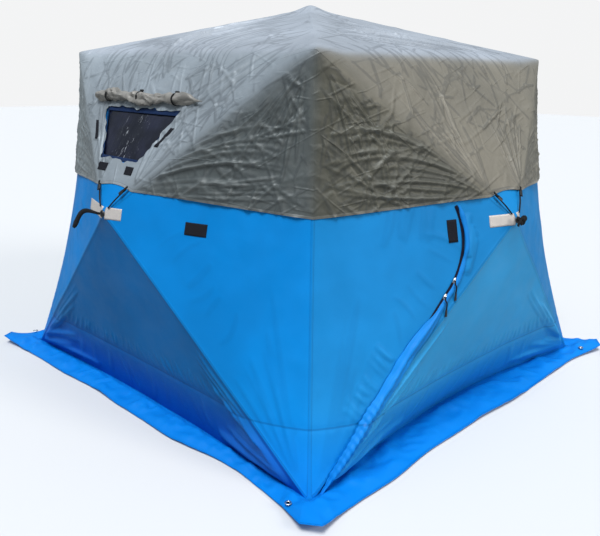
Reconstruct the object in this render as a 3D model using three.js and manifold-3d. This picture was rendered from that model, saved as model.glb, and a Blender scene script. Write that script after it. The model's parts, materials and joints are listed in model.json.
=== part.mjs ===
// A hub-style pop-up ice fishing shelter with a half rain cover over its roof and upper walls.
// Millimetres, +Z up, origin on the ground at the middle of the floor.
// The front wall faces -Y and holds the window. The right wall faces +X and holds the door.
// Each wall, and the roof, is four triangular fabric panels stretched by four poles that spring from one hub.
import * as THREE from 'three';
import { mergeVertices } from 'three/addons/utils/BufferGeometryUtils.js';
import Module from 'manifold-3d';

const wasm = await Module();
wasm.setup();

// Driving dimensions of the tent skin.
const FLOOR_HALF = 1200;
const EAVE_HALF = 931;
const EAVE_HEIGHT = 1776;
const WALL_HUB_UP = 1000; // up the slope of the wall, from the floor to the point behind the hub
const WALL_HUB_RISE = 320; // how far a popped-out wall skin stands out of its flat frame
const ROOF_HUB_RISE = 255;
const CORNER_SAG = 100; // how far the seam between two walls is drawn towards the middle of the tent
const EAVE_SAG = 15;
const BASE_SAG = { front: 45, right: 130, back: 90, left: 90 };

// Fabric, poles and hubs.
const FABRIC = 2;
const COVER_LIFT = 9;
const STRIP_COLUMNS = 8;
const STRIP_ROWS = 2;
const SEAM_REACH = 300; // along a pole from a corner: the skin inside this stays with the seams
const PANEL_GAP = 2;
const PANEL_TIP = 135; // a moving panel stops this far from its hub
const PANEL_SPARE_ANGLE = 0.004; // radians beyond what two panels overlap by when they pass through flat
const POLE_RADIUS = 5.5;
const FERRULE_RADIUS = 6.8;
const POLE_DEPTH = 9.5; // from the skin's outer face to the pole's centre
const POLE_FROM_CORNER = 32;
const POLE_FROM_HUB = 38;
const HUB_RADIUS = 42;
const HUB_CORE_RADIUS = 11;
const HUB_PLATE = 3;
const HUB_TOP = 13; // hub's outer face, measured out from where the panels would meet
const HUB_BOTTOM = -33;

// Rain cover.
const HEM_HEIGHT = 1150;
const COVER_PEAK_LIFT = 25;
const CORD_WIDTH = 10;
const CORD_THICK = 2.5;
const CORD_END_SHARE = 0.045; // of a pole's length, from the hub: the cords stop beside the hub's rim

// Window in the front wall's upper panel: distances down the panel from the eave, and half widths.
const WINDOW = { top: 316, bottom: 588, topHalf: 310, bottomHalf: 160, shift: -55 };
const WINDOW_SASH = 35; // the skin's window is wider than the hole in the cover by this
const ROLL_RADIUS = 20;
const ROLL_HALF = 448;

// Door in the right wall's left panel. Panel coordinates: along the corner seam from the eave, and across it.
const DOOR_HINGE = 275;
const ZIP_RADIUS = 324;
const ZIP_CENTRE = new THREE.Vector2(764, 440);
const ZIP_BEND = 0.911; // radians: where the zip's arc meets its straight run
const ZIP_TOP = 2.06; // radians: where the arc reaches the hem of the cover
const ZIP_ARC_STEPS = 7;
const DOOR_TOP_SEAM = 690;
const ZIP_TAPE = 26;
const TAPE_RUN = 480; // the tape's straight run, from the bend down to the fold along the corner seam
const SLIDER_BELOW_BEND = 45;
const SLIDER_ABOVE_BEND = 0.13; // radians
const SLIDER_TAIL = 18;
const SLIDER_SHOULDER = 14;
const SLIDER_TONGUE = 44;
const SLIDER_HALF = 9;
const TONGUE_HALF = 4;
const STORM_FLAP_RADIUS = 9;
const STORM_FLAP_START = 120; // below the bend
const STORM_FLAP_LENGTH = 310;
const STORM_FLAP_SHIFT = 12; // beyond the tape

// Skirt and straps.
const SKIRT_REACH = 118;
const SKIRT_WAVE = 18;
const SKIRT_TIP = 55;
const SKIRT_WAVES = 19; // radians of wave along one side
const SKIRT_THICK = 3;
const SKIRT_STEPS = 16;
const SKIRT_GAP = 5; // between the wall's foot and the inner edge of the skirt
const STRAP_LIFT = 20;
const STRAP_REACH = { front: 190, right: 85, back: 190, left: 85 };
const STRAP_RADIUS = { front: 9, right: 16, back: 9, left: 16 };

const SIDES = ['front', 'right', 'back', 'left'];
const WALL_EDGES = ['lower', 'right', 'upper', 'left'];
const WALL_POLES = ['lower_right', 'upper_right', 'upper_left', 'lower_left'];
const ROOF_POLES = ['front_right', 'back_right', 'back_left', 'front_left'];

function material(color, roughness, metalness = 0) {
  return new THREE.MeshStandardMaterial({ color, roughness, metalness, side: THREE.DoubleSide });
}

const skinBlue = material(0x0a86e0, 0.7);
const skirtBlue = material(0x1f95ea, 0.75);
const coverGrey = material(0x8b8c8c, 0.5);
const poleBlack = material(0x1c1d20, 0.35);
const hubPlastic = material(0x17181a, 0.5);
const webbingBlack = material(0x101013, 0.85);
const zipBlack = material(0x0c1230, 0.6);
const windowFilm = material(0x1a2338, 0.2);
const metalSteel = material(0xb9bcc0, 0.35, 1);

const tent = new THREE.Group();
tent.name = 'ice_fishing_shelter';

function addPiece(name, geometry, finish, parent = tent) {
  const mesh = new THREE.Mesh(geometry, finish);
  mesh.name = name;
  parent.add(mesh);
  return mesh;
}

// ---- The frame's geometry: five faces, each a shallow four-sided pyramid over a flat frame ----

function turned(x, y, z, quarterTurns) {
  return new THREE.Vector3(x, y, z).applyAxisAngle(new THREE.Vector3(0, 0, 1), (quarterTurns * Math.PI) / 2);
}

// One triangular panel over the edge from start to end, with its own axes:
// along the edge, across it towards the hub, and out of the tent.
function makePanel(name, start, end, hub, sag) {
  const along = end.clone().sub(start);
  const length = along.length();
  along.normalize();
  const reach = hub.clone().sub(start);
  const hubAlong = reach.dot(along);
  const across = reach.addScaledVector(along, -hubAlong);
  const hubAcross = across.length();
  across.normalize();
  const out = along.clone().cross(across);
  const startAngle = Math.atan2(hubAcross, hubAlong);
  const endAngle = Math.atan2(hubAcross, length - hubAlong);
  return { name, start, end, hub, sag, along, across, out, length, hubAlong, hubAcross, startAngle, endAngle };
}

function makeFace(name, corners, foot, out, rise, panelNames, poleNames, sags) {
  const hub = foot.clone().addScaledVector(out, rise);
  const panels = corners.map((start, i) =>
    makePanel(panelNames[i], start, corners[(i + 1) % 4], hub, sags[i]),
  );
  return { name, out, hub, panels, poleNames };
}

function wallFace(side, turns) {
  const corners = [
    turned(-FLOOR_HALF, -FLOOR_HALF, 0, turns),
    turned(FLOOR_HALF, -FLOOR_HALF, 0, turns),
    turned(EAVE_HALF, -EAVE_HALF, EAVE_HEIGHT, turns),
    turned(-EAVE_HALF, -EAVE_HALF, EAVE_HEIGHT, turns),
  ];
  const lean = FLOOR_HALF - EAVE_HALF;
  const slope = Math.hypot(lean, EAVE_HEIGHT);
  const foot = turned(0, -FLOOR_HALF + (WALL_HUB_UP * lean) / slope, (WALL_HUB_UP * EAVE_HEIGHT) / slope, turns);
  const out = turned(0, -EAVE_HEIGHT / slope, lean / slope, turns);
  const diagonal = CORNER_SAG / Math.SQRT2;
  const sags = [
    turned(0, BASE_SAG[side], 0, turns),
    turned(-diagonal, diagonal, 0, turns),
    turned(0, EAVE_SAG, 0, turns),
    turned(diagonal, diagonal, 0, turns),
  ];
  const panelNames = WALL_EDGES.map((edge) => `${side}_${edge}_panel`);
  const poleNames = WALL_POLES.map((pole) => `${side}_pole_${pole}`);
  return makeFace(side, corners, foot, out, WALL_HUB_RISE, panelNames, poleNames, sags);
}

function roofFace() {
  const corners = SIDES.map((side, turns) => turned(-EAVE_HALF, -EAVE_HALF, EAVE_HEIGHT, turns));
  const sags = SIDES.map((side, turns) => turned(0, EAVE_SAG, 0, turns));
  const panelNames = SIDES.map((side) => `roof_${side}_panel`);
  const poleNames = ROOF_POLES.map((pole) => `roof_pole_${pole}`);
  const foot = new THREE.Vector3(0, 0, EAVE_HEIGHT);
  return makeFace('roof', corners, foot, new THREE.Vector3(0, 0, 1), ROOF_HUB_RISE, panelNames, poleNames, sags);
}

const walls = SIDES.map(wallFace);
const roof = roofFace();
const faces = [...walls, roof];

// ---- Points on a panel ----

function panelPoint(panel, along, across, out = 0) {
  return panel.start
    .clone()
    .addScaledVector(panel.along, along)
    .addScaledVector(panel.across, across)
    .addScaledVector(panel.out, out);
}

// The line where the skin that stays with the seams meets the moving panel.
function foldLine(panel) {
  const first = new THREE.Vector2(Math.cos(panel.startAngle), Math.sin(panel.startAngle));
  const last = new THREE.Vector2(-Math.cos(panel.endAngle), Math.sin(panel.endAngle));
  first.multiplyScalar(SEAM_REACH);
  last.multiplyScalar(SEAM_REACH).add(new THREE.Vector2(panel.length, 0));
  return [first, last];
}

// The skin is drawn in at its seams: fully at the middle of an edge, and not at all at the poles or past the fold line.
function sagged(panel, along, across) {
  const [first, last] = foldLine(panel);
  const foldAcross = first.y + ((along - first.x) / (last.x - first.x)) * (last.y - first.y);
  const left = across / Math.tan(panel.startAngle);
  const right = panel.length - across / Math.tan(panel.endAngle);
  const share = THREE.MathUtils.clamp((along - left) / Math.max(right - left, 1), 0, 1);
  const near = Math.max(0, 1 - across / foldAcross);
  const amount = Math.sin(Math.PI * share) * near * near;
  return panelPoint(panel, along, across).addScaledVector(panel.sag, amount);
}

// ---- Sheets: triangles with a thickness ----

function gridTriangles(rows) {
  const triangles = [];
  for (let i = 0; i + 1 < rows.length; i++) {
    for (let j = 0; j + 1 < rows[i].length; j++) {
      triangles.push([rows[i][j], rows[i][j + 1], rows[i + 1][j + 1]]);
      triangles.push([rows[i][j], rows[i + 1][j + 1], rows[i + 1][j]]);
    }
  }
  return triangles;
}

function indexed(triangles) {
  const points = [];
  const known = new Map();
  const faceList = triangles.map((triangle) =>
    triangle.map((point) => {
      const key = point.toArray().map((value) => Math.round(value * 100)).join(',');
      if (!known.has(key)) {
        known.set(key, points.length);
        points.push(point);
      }
      return known.get(key);
    }),
  );
  return { points, faceList };
}

function cornerNormals(points, faceList) {
  const normals = points.map(() => new THREE.Vector3());
  for (const [a, b, c] of faceList) {
    const normal = points[b].clone().sub(points[a]).cross(points[c].clone().sub(points[a]));
    for (const index of [a, b, c]) normals[index].add(normal);
  }
  return normals.map((normal) => normal.normalize());
}

function openEdges(faceList) {
  const edges = new Map();
  for (const [a, b, c] of faceList) {
    for (const [from, to] of [[a, b], [b, c], [c, a]]) {
      if (edges.has(`${to},${from}`)) edges.delete(`${to},${from}`);
      else edges.set(`${from},${to}`, [from, to]);
    }
  }
  return [...edges.values()];
}

// A closed solid whose outer face lies lift outside the triangles.
function sheetGeometry(triangles, lift, thickness = FABRIC) {
  const { points, faceList } = indexed(triangles);
  const normals = cornerNormals(points, faceList);
  const outer = points.map((point, i) => point.clone().addScaledVector(normals[i], lift));
  const inner = outer.map((point, i) => point.clone().addScaledVector(normals[i], -thickness));
  const solid = [];
  for (const [a, b, c] of faceList) {
    solid.push(outer[a], outer[b], outer[c]);
    solid.push(inner[a], inner[c], inner[b]);
  }
  for (const [from, to] of openEdges(faceList)) {
    solid.push(outer[to], outer[from], inner[from]);
    solid.push(outer[to], inner[from], inner[to]);
  }
  return new THREE.BufferGeometry().setFromPoints(solid);
}

// ---- Booleans ----

function toManifold(geometry) {
  const bare = new THREE.BufferGeometry();
  bare.setAttribute('position', geometry.getAttribute('position').clone());
  if (geometry.index) bare.setIndex(geometry.index.clone());
  const merged = mergeVertices(bare, 1e-3);
  const mesh = new wasm.Mesh({
    numProp: 3,
    vertProperties: new Float32Array(merged.attributes.position.array),
    triVerts: new Uint32Array(merged.index.array),
  });
  return new wasm.Manifold(mesh);
}

function fromManifold(solid) {
  const mesh = solid.getMesh();
  const geometry = new THREE.BufferGeometry();
  geometry.setAttribute('position', new THREE.BufferAttribute(new Float32Array(mesh.vertProperties), 3));
  geometry.setIndex(new THREE.BufferAttribute(new Uint32Array(mesh.triVerts), 1));
  return geometry;
}

// ---- Placing geometry that is drawn flat ----

function panelAxes(panel) {
  return new THREE.Matrix4().makeBasis(panel.along, panel.across, panel.out).setPosition(panel.start);
}

function addToPanel(name, geometry, finish, panel) {
  const mesh = addPiece(name, geometry, finish);
  mesh.applyMatrix4(panelAxes(panel));
  return mesh;
}

function plateGeometry(shape, outside, thickness) {
  const geometry = new THREE.ExtrudeGeometry(shape, { depth: thickness, bevelEnabled: false, curveSegments: 6 });
  return geometry.translate(0, 0, outside - thickness);
}

function rodGeometry(path, radius, sides, steps) {
  const round = new THREE.Shape();
  for (let i = 0; i < sides; i++) {
    const angle = (2 * Math.PI * i) / sides;
    const x = radius * Math.cos(angle);
    const y = radius * Math.sin(angle);
    if (i === 0) round.moveTo(x, y);
    else round.lineTo(x, y);
  }
  return new THREE.ExtrudeGeometry(round, { steps, bevelEnabled: false, extrudePath: path });
}

// ---- Moving panels ----

// Where a ray from the edge's start, angled up by angle and set off by offset, crosses the fold line.
function rayOnFold(panel, origin, angle) {
  const [first, last] = foldLine(panel);
  const run = last.clone().sub(first);
  const ray = new THREE.Vector2(Math.cos(angle), Math.sin(angle));
  const gap = origin.clone().sub(first);
  const distance = (run.x * gap.y - run.y * gap.x) / (ray.x * run.y - ray.y * run.x);
  return origin.clone().addScaledVector(ray, distance);
}

// As a wall passes through flat, two neighbouring panels would overlap by this angle at their shared corner.
function flatOverlap(panel, previous) {
  const cornerAngle = panel.along.angleTo(previous.along.clone().negate());
  return panel.startAngle + previous.endAngle - cornerAngle;
}

// A panel reaches its own pole on one side, and stands back from its neighbour's pole on the other.
function panelOutline(panel, previous) {
  const hub = new THREE.Vector2(panel.hubAlong, panel.hubAcross);
  const nearAngle = panel.startAngle - flatOverlap(panel, previous) - PANEL_SPARE_ANGLE;
  const farAngle = Math.PI - panel.endAngle;
  const nearOrigin = new THREE.Vector2(2 * POLE_DEPTH * Math.sin(nearAngle), 0);
  const farOrigin = new THREE.Vector2(panel.length - PANEL_GAP, 0);
  const near = rayOnFold(panel, nearOrigin, nearAngle);
  const far = rayOnFold(panel, farOrigin, farAngle);
  near.y += PANEL_GAP;
  far.y += PANEL_GAP;
  const nearRay = new THREE.Vector2(Math.cos(nearAngle), Math.sin(nearAngle));
  const farRay = new THREE.Vector2(Math.cos(farAngle), Math.sin(farAngle));
  const nearTip = near.clone().addScaledVector(nearRay, nearRay.dot(hub.clone().sub(near)) - PANEL_TIP);
  const farTip = far.clone().addScaledVector(farRay, farRay.dot(hub.clone().sub(far)) - PANEL_TIP);
  return [near, far, farTip, nearTip];
}

function windowOutline(panel, grow) {
  const middle = panel.length / 2 - WINDOW.shift;
  const corners = [
    [middle - WINDOW.topHalf - grow, WINDOW.top - grow],
    [middle + WINDOW.topHalf + grow, WINDOW.top - grow],
    [middle + WINDOW.bottomHalf + grow, WINDOW.bottom + grow],
    [middle - WINDOW.bottomHalf - grow, WINDOW.bottom + grow],
  ];
  return corners.map(([x, y]) => new THREE.Vector2(x, y));
}

// The zip runs straight up from the floor, then bends over on an arc to the cover's hem.
function zipPoint(angle, radius = ZIP_RADIUS) {
  return new THREE.Vector2(Math.cos(angle), Math.sin(angle)).multiplyScalar(radius).add(ZIP_CENTRE);
}

const zipDown = new THREE.Vector2(Math.sin(ZIP_BEND), -Math.cos(ZIP_BEND));

function doorOutline(shrink) {
  const radius = ZIP_RADIUS - shrink;
  const hinge = DOOR_HINGE + shrink;
  const bend = zipPoint(ZIP_BEND, radius);
  const runToHinge = (bend.y - hinge) / -zipDown.y;
  const outline = [];
  outline.push(new THREE.Vector2(DOOR_TOP_SEAM + shrink, hinge));
  outline.push(bend.clone().addScaledVector(zipDown, runToHinge));
  for (let i = 0; i <= ZIP_ARC_STEPS; i++) {
    outline.push(zipPoint(THREE.MathUtils.lerp(ZIP_BEND, ZIP_TOP - shrink / radius, i / ZIP_ARC_STEPS), radius));
  }
  return outline;
}

function addPanel(panel, previous) {
  const shape = new THREE.Shape(panelOutline(panel, previous));
  if (panel.name === 'front_upper_panel') shape.holes.push(new THREE.Path(windowOutline(panel, WINDOW_SASH)));
  if (panel.name === 'right_left_panel') shape.holes.push(new THREE.Path(doorOutline(0)));
  addToPanel(panel.name, plateGeometry(shape, 0, FABRIC), skinBlue, panel);
}

// ---- Poles and hubs ----

function poleGeometry(length) {
  const half = FERRULE_RADIUS * 5;
  const middle = length / 2;
  const profile = [
    [0, 0],
    [POLE_RADIUS, 0],
    [POLE_RADIUS, middle - half],
    [FERRULE_RADIUS, middle - half],
    [FERRULE_RADIUS, middle + half],
    [POLE_RADIUS, middle + half],
    [POLE_RADIUS, length],
    [0, length],
  ];
  return new THREE.LatheGeometry(profile.map(([x, y]) => new THREE.Vector2(x, y)), 8);
}

// The pole at the end corner of a panel runs just inside the ridge between that panel and the next one.
function addPole(face, index) {
  const panel = face.panels[index];
  const next = face.panels[(index + 1) % 4];
  const inward = panel.out.clone().add(next.out).normalize().multiplyScalar(-POLE_DEPTH);
  const direction = panel.hub.clone().sub(panel.end);
  const length = direction.length() - POLE_FROM_CORNER - POLE_FROM_HUB;
  direction.normalize();
  const mesh = addPiece(face.poleNames[index], poleGeometry(length), poleBlack);
  mesh.position.copy(panel.end).addScaledVector(direction, POLE_FROM_CORNER).add(inward);
  mesh.quaternion.setFromUnitVectors(new THREE.Vector3(0, 1, 0), direction);
}

// Two round plates on a core: the pole ends lie in the gap between the plates and swing there.
function addHub(face) {
  const profile = [
    [0, HUB_BOTTOM],
    [HUB_RADIUS, HUB_BOTTOM],
    [HUB_RADIUS, HUB_BOTTOM + HUB_PLATE],
    [HUB_CORE_RADIUS, HUB_BOTTOM + HUB_PLATE],
    [HUB_CORE_RADIUS, HUB_TOP - HUB_PLATE],
    [HUB_RADIUS, HUB_TOP - HUB_PLATE],
    [HUB_RADIUS, HUB_TOP],
    [0, HUB_TOP],
  ];
  const geometry = new THREE.LatheGeometry(profile.map(([x, y]) => new THREE.Vector2(x, y)), 16);
  const mesh = addPiece(`${face.name}_hub`, geometry, hubPlastic);
  mesh.position.copy(face.hub);
  mesh.quaternion.setFromUnitVectors(new THREE.Vector3(0, 1, 0), face.out);
}

// ---- The skin that stays with the seams ----

function seamStrip(panel) {
  const [first, last] = foldLine(panel);
  const rows = [];
  for (let row = 0; row <= STRIP_ROWS; row++) {
    const w = row / STRIP_ROWS;
    const from = first.clone().multiplyScalar(w);
    const to = last.clone().sub(new THREE.Vector2(panel.length, 0)).multiplyScalar(w);
    to.x += panel.length;
    const points = [];
    for (let column = 0; column <= STRIP_COLUMNS; column++) {
      const spot = from.clone().lerp(to, column / STRIP_COLUMNS);
      points.push(sagged(panel, spot.x, spot.y));
    }
    rows.push(points);
  }
  return gridTriangles(rows);
}

function addSeamSkin() {
  const triangles = faces.flatMap((face) => face.panels.flatMap(seamStrip));
  addPiece('tent_seam_skin', sheetGeometry(triangles, 0), skinBlue);
}

// ---- Rain cover ----

// A whole panel: the strip that stays with the seams, then a fan from the fold line to the hub.
function panelSheet(panel, peakLift) {
  const triangles = seamStrip(panel);
  const [first, last] = foldLine(panel);
  const peak = panel.hub.clone();
  peak.z += peakLift;
  for (let column = 0; column < STRIP_COLUMNS; column++) {
    const from = first.clone().lerp(last, column / STRIP_COLUMNS);
    const to = first.clone().lerp(last, (column + 1) / STRIP_COLUMNS);
    triangles.push([panelPoint(panel, from.x, from.y), panelPoint(panel, to.x, to.y), peak]);
  }
  return triangles;
}

// Where the hem crosses an upper pole, as a share of the pole from the eave down to the hub.
function hemPoleShare() {
  return (EAVE_HEIGHT - HEM_HEIGHT) / (EAVE_HEIGHT - walls[0].hub.z);
}

// A flat cord from the hem, where it crosses an upper pole, down to the rim of the hub.
function cordGeometry(panel, atStart) {
  const hub = new THREE.Vector2(panel.hubAlong, panel.hubAcross);
  const corner = new THREE.Vector2(atStart ? 0 : panel.length, 0);
  const hem = corner.clone().lerp(hub, hemPoleShare() - 0.01);
  const from = panelPoint(panel, hem.x, hem.y, COVER_LIFT - 1);
  const hubEnd = hub.clone().lerp(corner, CORD_END_SHARE);
  const to = panelPoint(panel, hubEnd.x, hubEnd.y, COVER_LIFT - 1);
  const length = from.distanceTo(to);
  const geometry = new THREE.BoxGeometry(CORD_WIDTH, length, CORD_THICK);
  const up = to.clone().sub(from).normalize();
  const across = up.clone().cross(panel.out).normalize();
  const axes = new THREE.Matrix4().makeBasis(across, up, across.clone().cross(up));
  axes.setPosition(from.clone().lerp(to, 0.5));
  return geometry.applyMatrix4(axes);
}

function addRainCover() {
  const triangles = [];
  for (const wall of walls) {
    for (const panel of wall.panels.slice(1)) triangles.push(...panelSheet(panel, 0));
  }
  for (const panel of roof.panels) triangles.push(...panelSheet(panel, COVER_PEAK_LIFT));
  const belowHem = new THREE.BoxGeometry(4 * FLOOR_HALF, 4 * FLOOR_HALF, HEM_HEIGHT);
  belowHem.translate(0, 0, HEM_HEIGHT / 2);
  const front = walls[0].panels[2];
  const hole = new THREE.Shape(windowOutline(front, 0));
  const windowCut = plateGeometry(hole, 60, 60 - FABRIC).applyMatrix4(panelAxes(front));
  let cover = toManifold(sheetGeometry(triangles, COVER_LIFT));
  for (const cutter of [belowHem, windowCut]) cover = cover.subtract(toManifold(cutter));
  for (const wall of walls) {
    for (const atStart of [true, false]) cover = cover.add(toManifold(cordGeometry(wall.panels[2], atStart)));
  }
  addPiece('rain_cover', fromManifold(cover), coverGrey);
}

// ---- Window ----

function addWindow() {
  const panel = walls[0].panels[2];
  const pane = new THREE.Shape(windowOutline(panel, WINDOW_SASH - PANEL_GAP));
  addToPanel('window_pane', plateGeometry(pane, 0, FABRIC), windowFilm, panel);
  const middle = panel.length / 2 - WINDOW.shift;
  const across = WINDOW.top - 2 * ROLL_RADIUS;
  const lift = COVER_LIFT + ROLL_RADIUS + 1;
  const path = new THREE.LineCurve3(
    new THREE.Vector3(middle - ROLL_HALF, across, lift),
    new THREE.Vector3(middle + ROLL_HALF, across, lift),
  );
  addToPanel('window_cover_roll', rodGeometry(path, ROLL_RADIUS, 8, 1), coverGrey, panel);
}

// ---- Door ----

function zipTapeShape() {
  const bend = zipPoint(ZIP_BEND, ZIP_RADIUS + PANEL_GAP);
  const outerBend = zipPoint(ZIP_BEND, ZIP_RADIUS + ZIP_TAPE);
  const outline = [bend, outerBend].map((point) => point.clone().addScaledVector(zipDown, TAPE_RUN));
  for (let i = 0; i <= ZIP_ARC_STEPS; i++) {
    outline.push(zipPoint(THREE.MathUtils.lerp(ZIP_BEND, ZIP_TOP, i / ZIP_ARC_STEPS), ZIP_RADIUS + ZIP_TAPE));
  }
  for (let i = ZIP_ARC_STEPS; i >= 0; i--) {
    outline.push(zipPoint(THREE.MathUtils.lerp(ZIP_BEND, ZIP_TOP, i / ZIP_ARC_STEPS), ZIP_RADIUS + PANEL_GAP));
  }
  return new THREE.Shape(outline);
}

// A slider's body with its pull tongue pointing along heading.
function sliderShape(centre, heading) {
  const shape = new THREE.Shape();
  const side = new THREE.Vector2(-heading.y, heading.x);
  const half = [[-SLIDER_TAIL, SLIDER_HALF], [SLIDER_SHOULDER, SLIDER_HALF], [SLIDER_TONGUE, TONGUE_HALF]];
  const mirrored = half.map(([x, y]) => [x, -y]);
  const corners = [...mirrored, ...half.reverse()];
  const points = corners.map(([x, y]) => centre.clone().addScaledVector(heading, x).addScaledVector(side, y));
  shape.setFromPoints(points);
  return shape;
}

function addDoor() {
  const panel = walls[1].panels[3];
  const flap = new THREE.Shape(doorOutline(PANEL_GAP));
  addToPanel('door_flap', plateGeometry(flap, 0, FABRIC), skinBlue, panel);
  addToPanel('door_zip_tape', plateGeometry(zipTapeShape(), 1.8, 1.5), zipBlack, panel);
  const lowerAt = zipPoint(ZIP_BEND).addScaledVector(zipDown, SLIDER_BELOW_BEND);
  addToPanel('zip_slider_lower', plateGeometry(sliderShape(lowerAt, zipDown), 6, 3.8), metalSteel, panel);
  const restAngle = ZIP_BEND + SLIDER_ABOVE_BEND;
  const heading = new THREE.Vector2(Math.sin(restAngle), -Math.cos(restAngle));
  addToPanel('zip_slider_upper', plateGeometry(sliderShape(zipPoint(restAngle), heading), 6, 3.8), metalSteel, panel);
  const flapFrom = zipPoint(ZIP_BEND, ZIP_RADIUS + ZIP_TAPE + STORM_FLAP_SHIFT).addScaledVector(zipDown, STORM_FLAP_START);
  const flapTo = flapFrom.clone().addScaledVector(zipDown, STORM_FLAP_LENGTH);
  const lift = STORM_FLAP_RADIUS + 0.5;
  const path = new THREE.LineCurve3(
    new THREE.Vector3(flapFrom.x, flapFrom.y, lift),
    new THREE.Vector3(flapTo.x, flapTo.y, lift),
  );
  addToPanel('storm_flap', rodGeometry(path, STORM_FLAP_RADIUS, 6, 1), skirtBlue, panel);
}

// ---- Pull straps ----

// A padded tail that droops out and to the left from the outer face of a wall hub.
function addStrap(face) {
  const side = face.name;
  const reach = STRAP_REACH[side];
  const leftward = face.panels[0].along.clone().negate();
  const from = face.hub.clone().addScaledVector(face.out, STRAP_LIFT + STRAP_RADIUS[side]);
  const bend = from.clone().addScaledVector(leftward, 0.38 * reach).addScaledVector(face.out, 0.3 * reach);
  const end = from.clone().addScaledVector(leftward, 0.62 * reach).addScaledVector(face.out, 0.5 * reach);
  end.z -= 0.5 * reach;
  const path = new THREE.CatmullRomCurve3([from, bend, end]);
  addPiece(`${side}_pull_strap`, rodGeometry(path, STRAP_RADIUS[side], 8, 6), webbingBlack);
}

// ---- Skirt on the ground ----

function wallBase(side, turns, share) {
  const sag = BASE_SAG[side] * Math.sin(Math.PI * share);
  const spot = turned(FLOOR_HALF * (2 * share - 1), -FLOOR_HALF + sag, 0, turns);
  return new THREE.Vector2(spot.x, spot.y);
}

// The skirt's outer edge waves along each side and runs out to a rounded tip at each corner.
function skirtEdge(turns, share) {
  const fromMiddle = 2 * share - 1;
  const tip = SKIRT_TIP * Math.pow(Math.abs(fromMiddle), 8);
  const wave = SKIRT_WAVE * Math.sin(share * SKIRT_WAVES + turns) * (1 - fromMiddle ** 4);
  const reach = SKIRT_REACH + wave + tip;
  const spot = turned((FLOOR_HALF + SKIRT_REACH) * fromMiddle, -FLOOR_HALF - reach, 0, turns);
  return new THREE.Vector2(spot.x, spot.y);
}

function addSkirt() {
  const outside = [];
  const inside = [];
  SIDES.forEach((side, turns) => {
    for (let i = 0; i < SKIRT_STEPS; i++) outside.push(skirtEdge(turns, (i + 0.5) / SKIRT_STEPS));
    for (let i = 0; i < STRIP_COLUMNS; i++) {
      inside.push(wallBase(side, turns, i / STRIP_COLUMNS).multiplyScalar(1 + SKIRT_GAP / FLOOR_HALF));
    }
  });
  const shape = new THREE.Shape(outside);
  shape.holes.push(new THREE.Path(inside));
  addPiece('snow_skirt', plateGeometry(shape, SKIRT_THICK, SKIRT_THICK), skirtBlue);
}

function addGrommet() {
  const profile = [[7, 0], [14, 0], [14, 1.6], [7, 1.6], [7, 0]];
  const geometry = new THREE.LatheGeometry(profile.map(([x, y]) => new THREE.Vector2(x, y)), 12);
  const mesh = addPiece('skirt_grommet', geometry, metalSteel);
  mesh.rotation.x = Math.PI / 2;
  mesh.position.set(-FLOOR_HALF - 100, -FLOOR_HALF + 20, SKIRT_THICK + 0.4);
}

for (const face of faces) {
  face.panels.forEach((panel, index) => addPanel(panel, face.panels[(index + 3) % 4]));
  for (let index = 0; index < 4; index++) addPole(face, index);
  addHub(face);
}
addSeamSkin();
addRainCover();
addWindow();
addDoor();
for (const wall of walls) addStrap(wall);
addSkirt();
addGrommet();

export default tent;
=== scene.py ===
"""The looks of a hub-style pop-up ice fishing shelter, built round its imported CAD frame.

Lengths are in metres. Every fabric face is four triangular panels that meet at a hub. A spot on a panel is a
pair: how far along the panel's sewn edge, and how far across the panel towards the hub.
"""
import itertools
import json
import math
from types import SimpleNamespace

import bpy
import numpy as np
from mathutils import Matrix, Vector, geometry


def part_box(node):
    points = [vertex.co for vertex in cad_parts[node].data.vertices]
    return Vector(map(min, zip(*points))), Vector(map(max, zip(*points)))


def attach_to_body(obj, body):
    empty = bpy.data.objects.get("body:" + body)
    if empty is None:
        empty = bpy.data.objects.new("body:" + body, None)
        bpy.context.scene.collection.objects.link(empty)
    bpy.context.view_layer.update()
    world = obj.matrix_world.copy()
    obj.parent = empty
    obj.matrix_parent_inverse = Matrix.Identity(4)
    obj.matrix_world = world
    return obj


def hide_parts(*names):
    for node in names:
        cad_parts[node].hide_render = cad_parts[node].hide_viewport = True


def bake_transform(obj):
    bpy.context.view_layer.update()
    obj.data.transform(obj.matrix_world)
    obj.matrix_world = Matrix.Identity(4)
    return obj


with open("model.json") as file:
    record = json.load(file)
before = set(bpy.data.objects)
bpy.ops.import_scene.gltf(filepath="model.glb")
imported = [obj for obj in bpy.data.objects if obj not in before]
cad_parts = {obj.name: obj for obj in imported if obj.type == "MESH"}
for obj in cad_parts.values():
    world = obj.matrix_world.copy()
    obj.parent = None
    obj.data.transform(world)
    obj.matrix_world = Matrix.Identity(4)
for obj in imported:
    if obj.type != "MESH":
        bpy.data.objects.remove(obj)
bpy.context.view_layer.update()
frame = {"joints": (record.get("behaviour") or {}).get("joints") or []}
JOINTS = {joint["name"]: joint for joint in frame["joints"]}

SIDES = ("front", "right", "back", "left")
EDGES = ("lower", "right", "upper", "left")
CORNERS = ((-1, -1), (1, -1), (1, 1), (-1, 1))

# ---- Driving sizes ----

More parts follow.
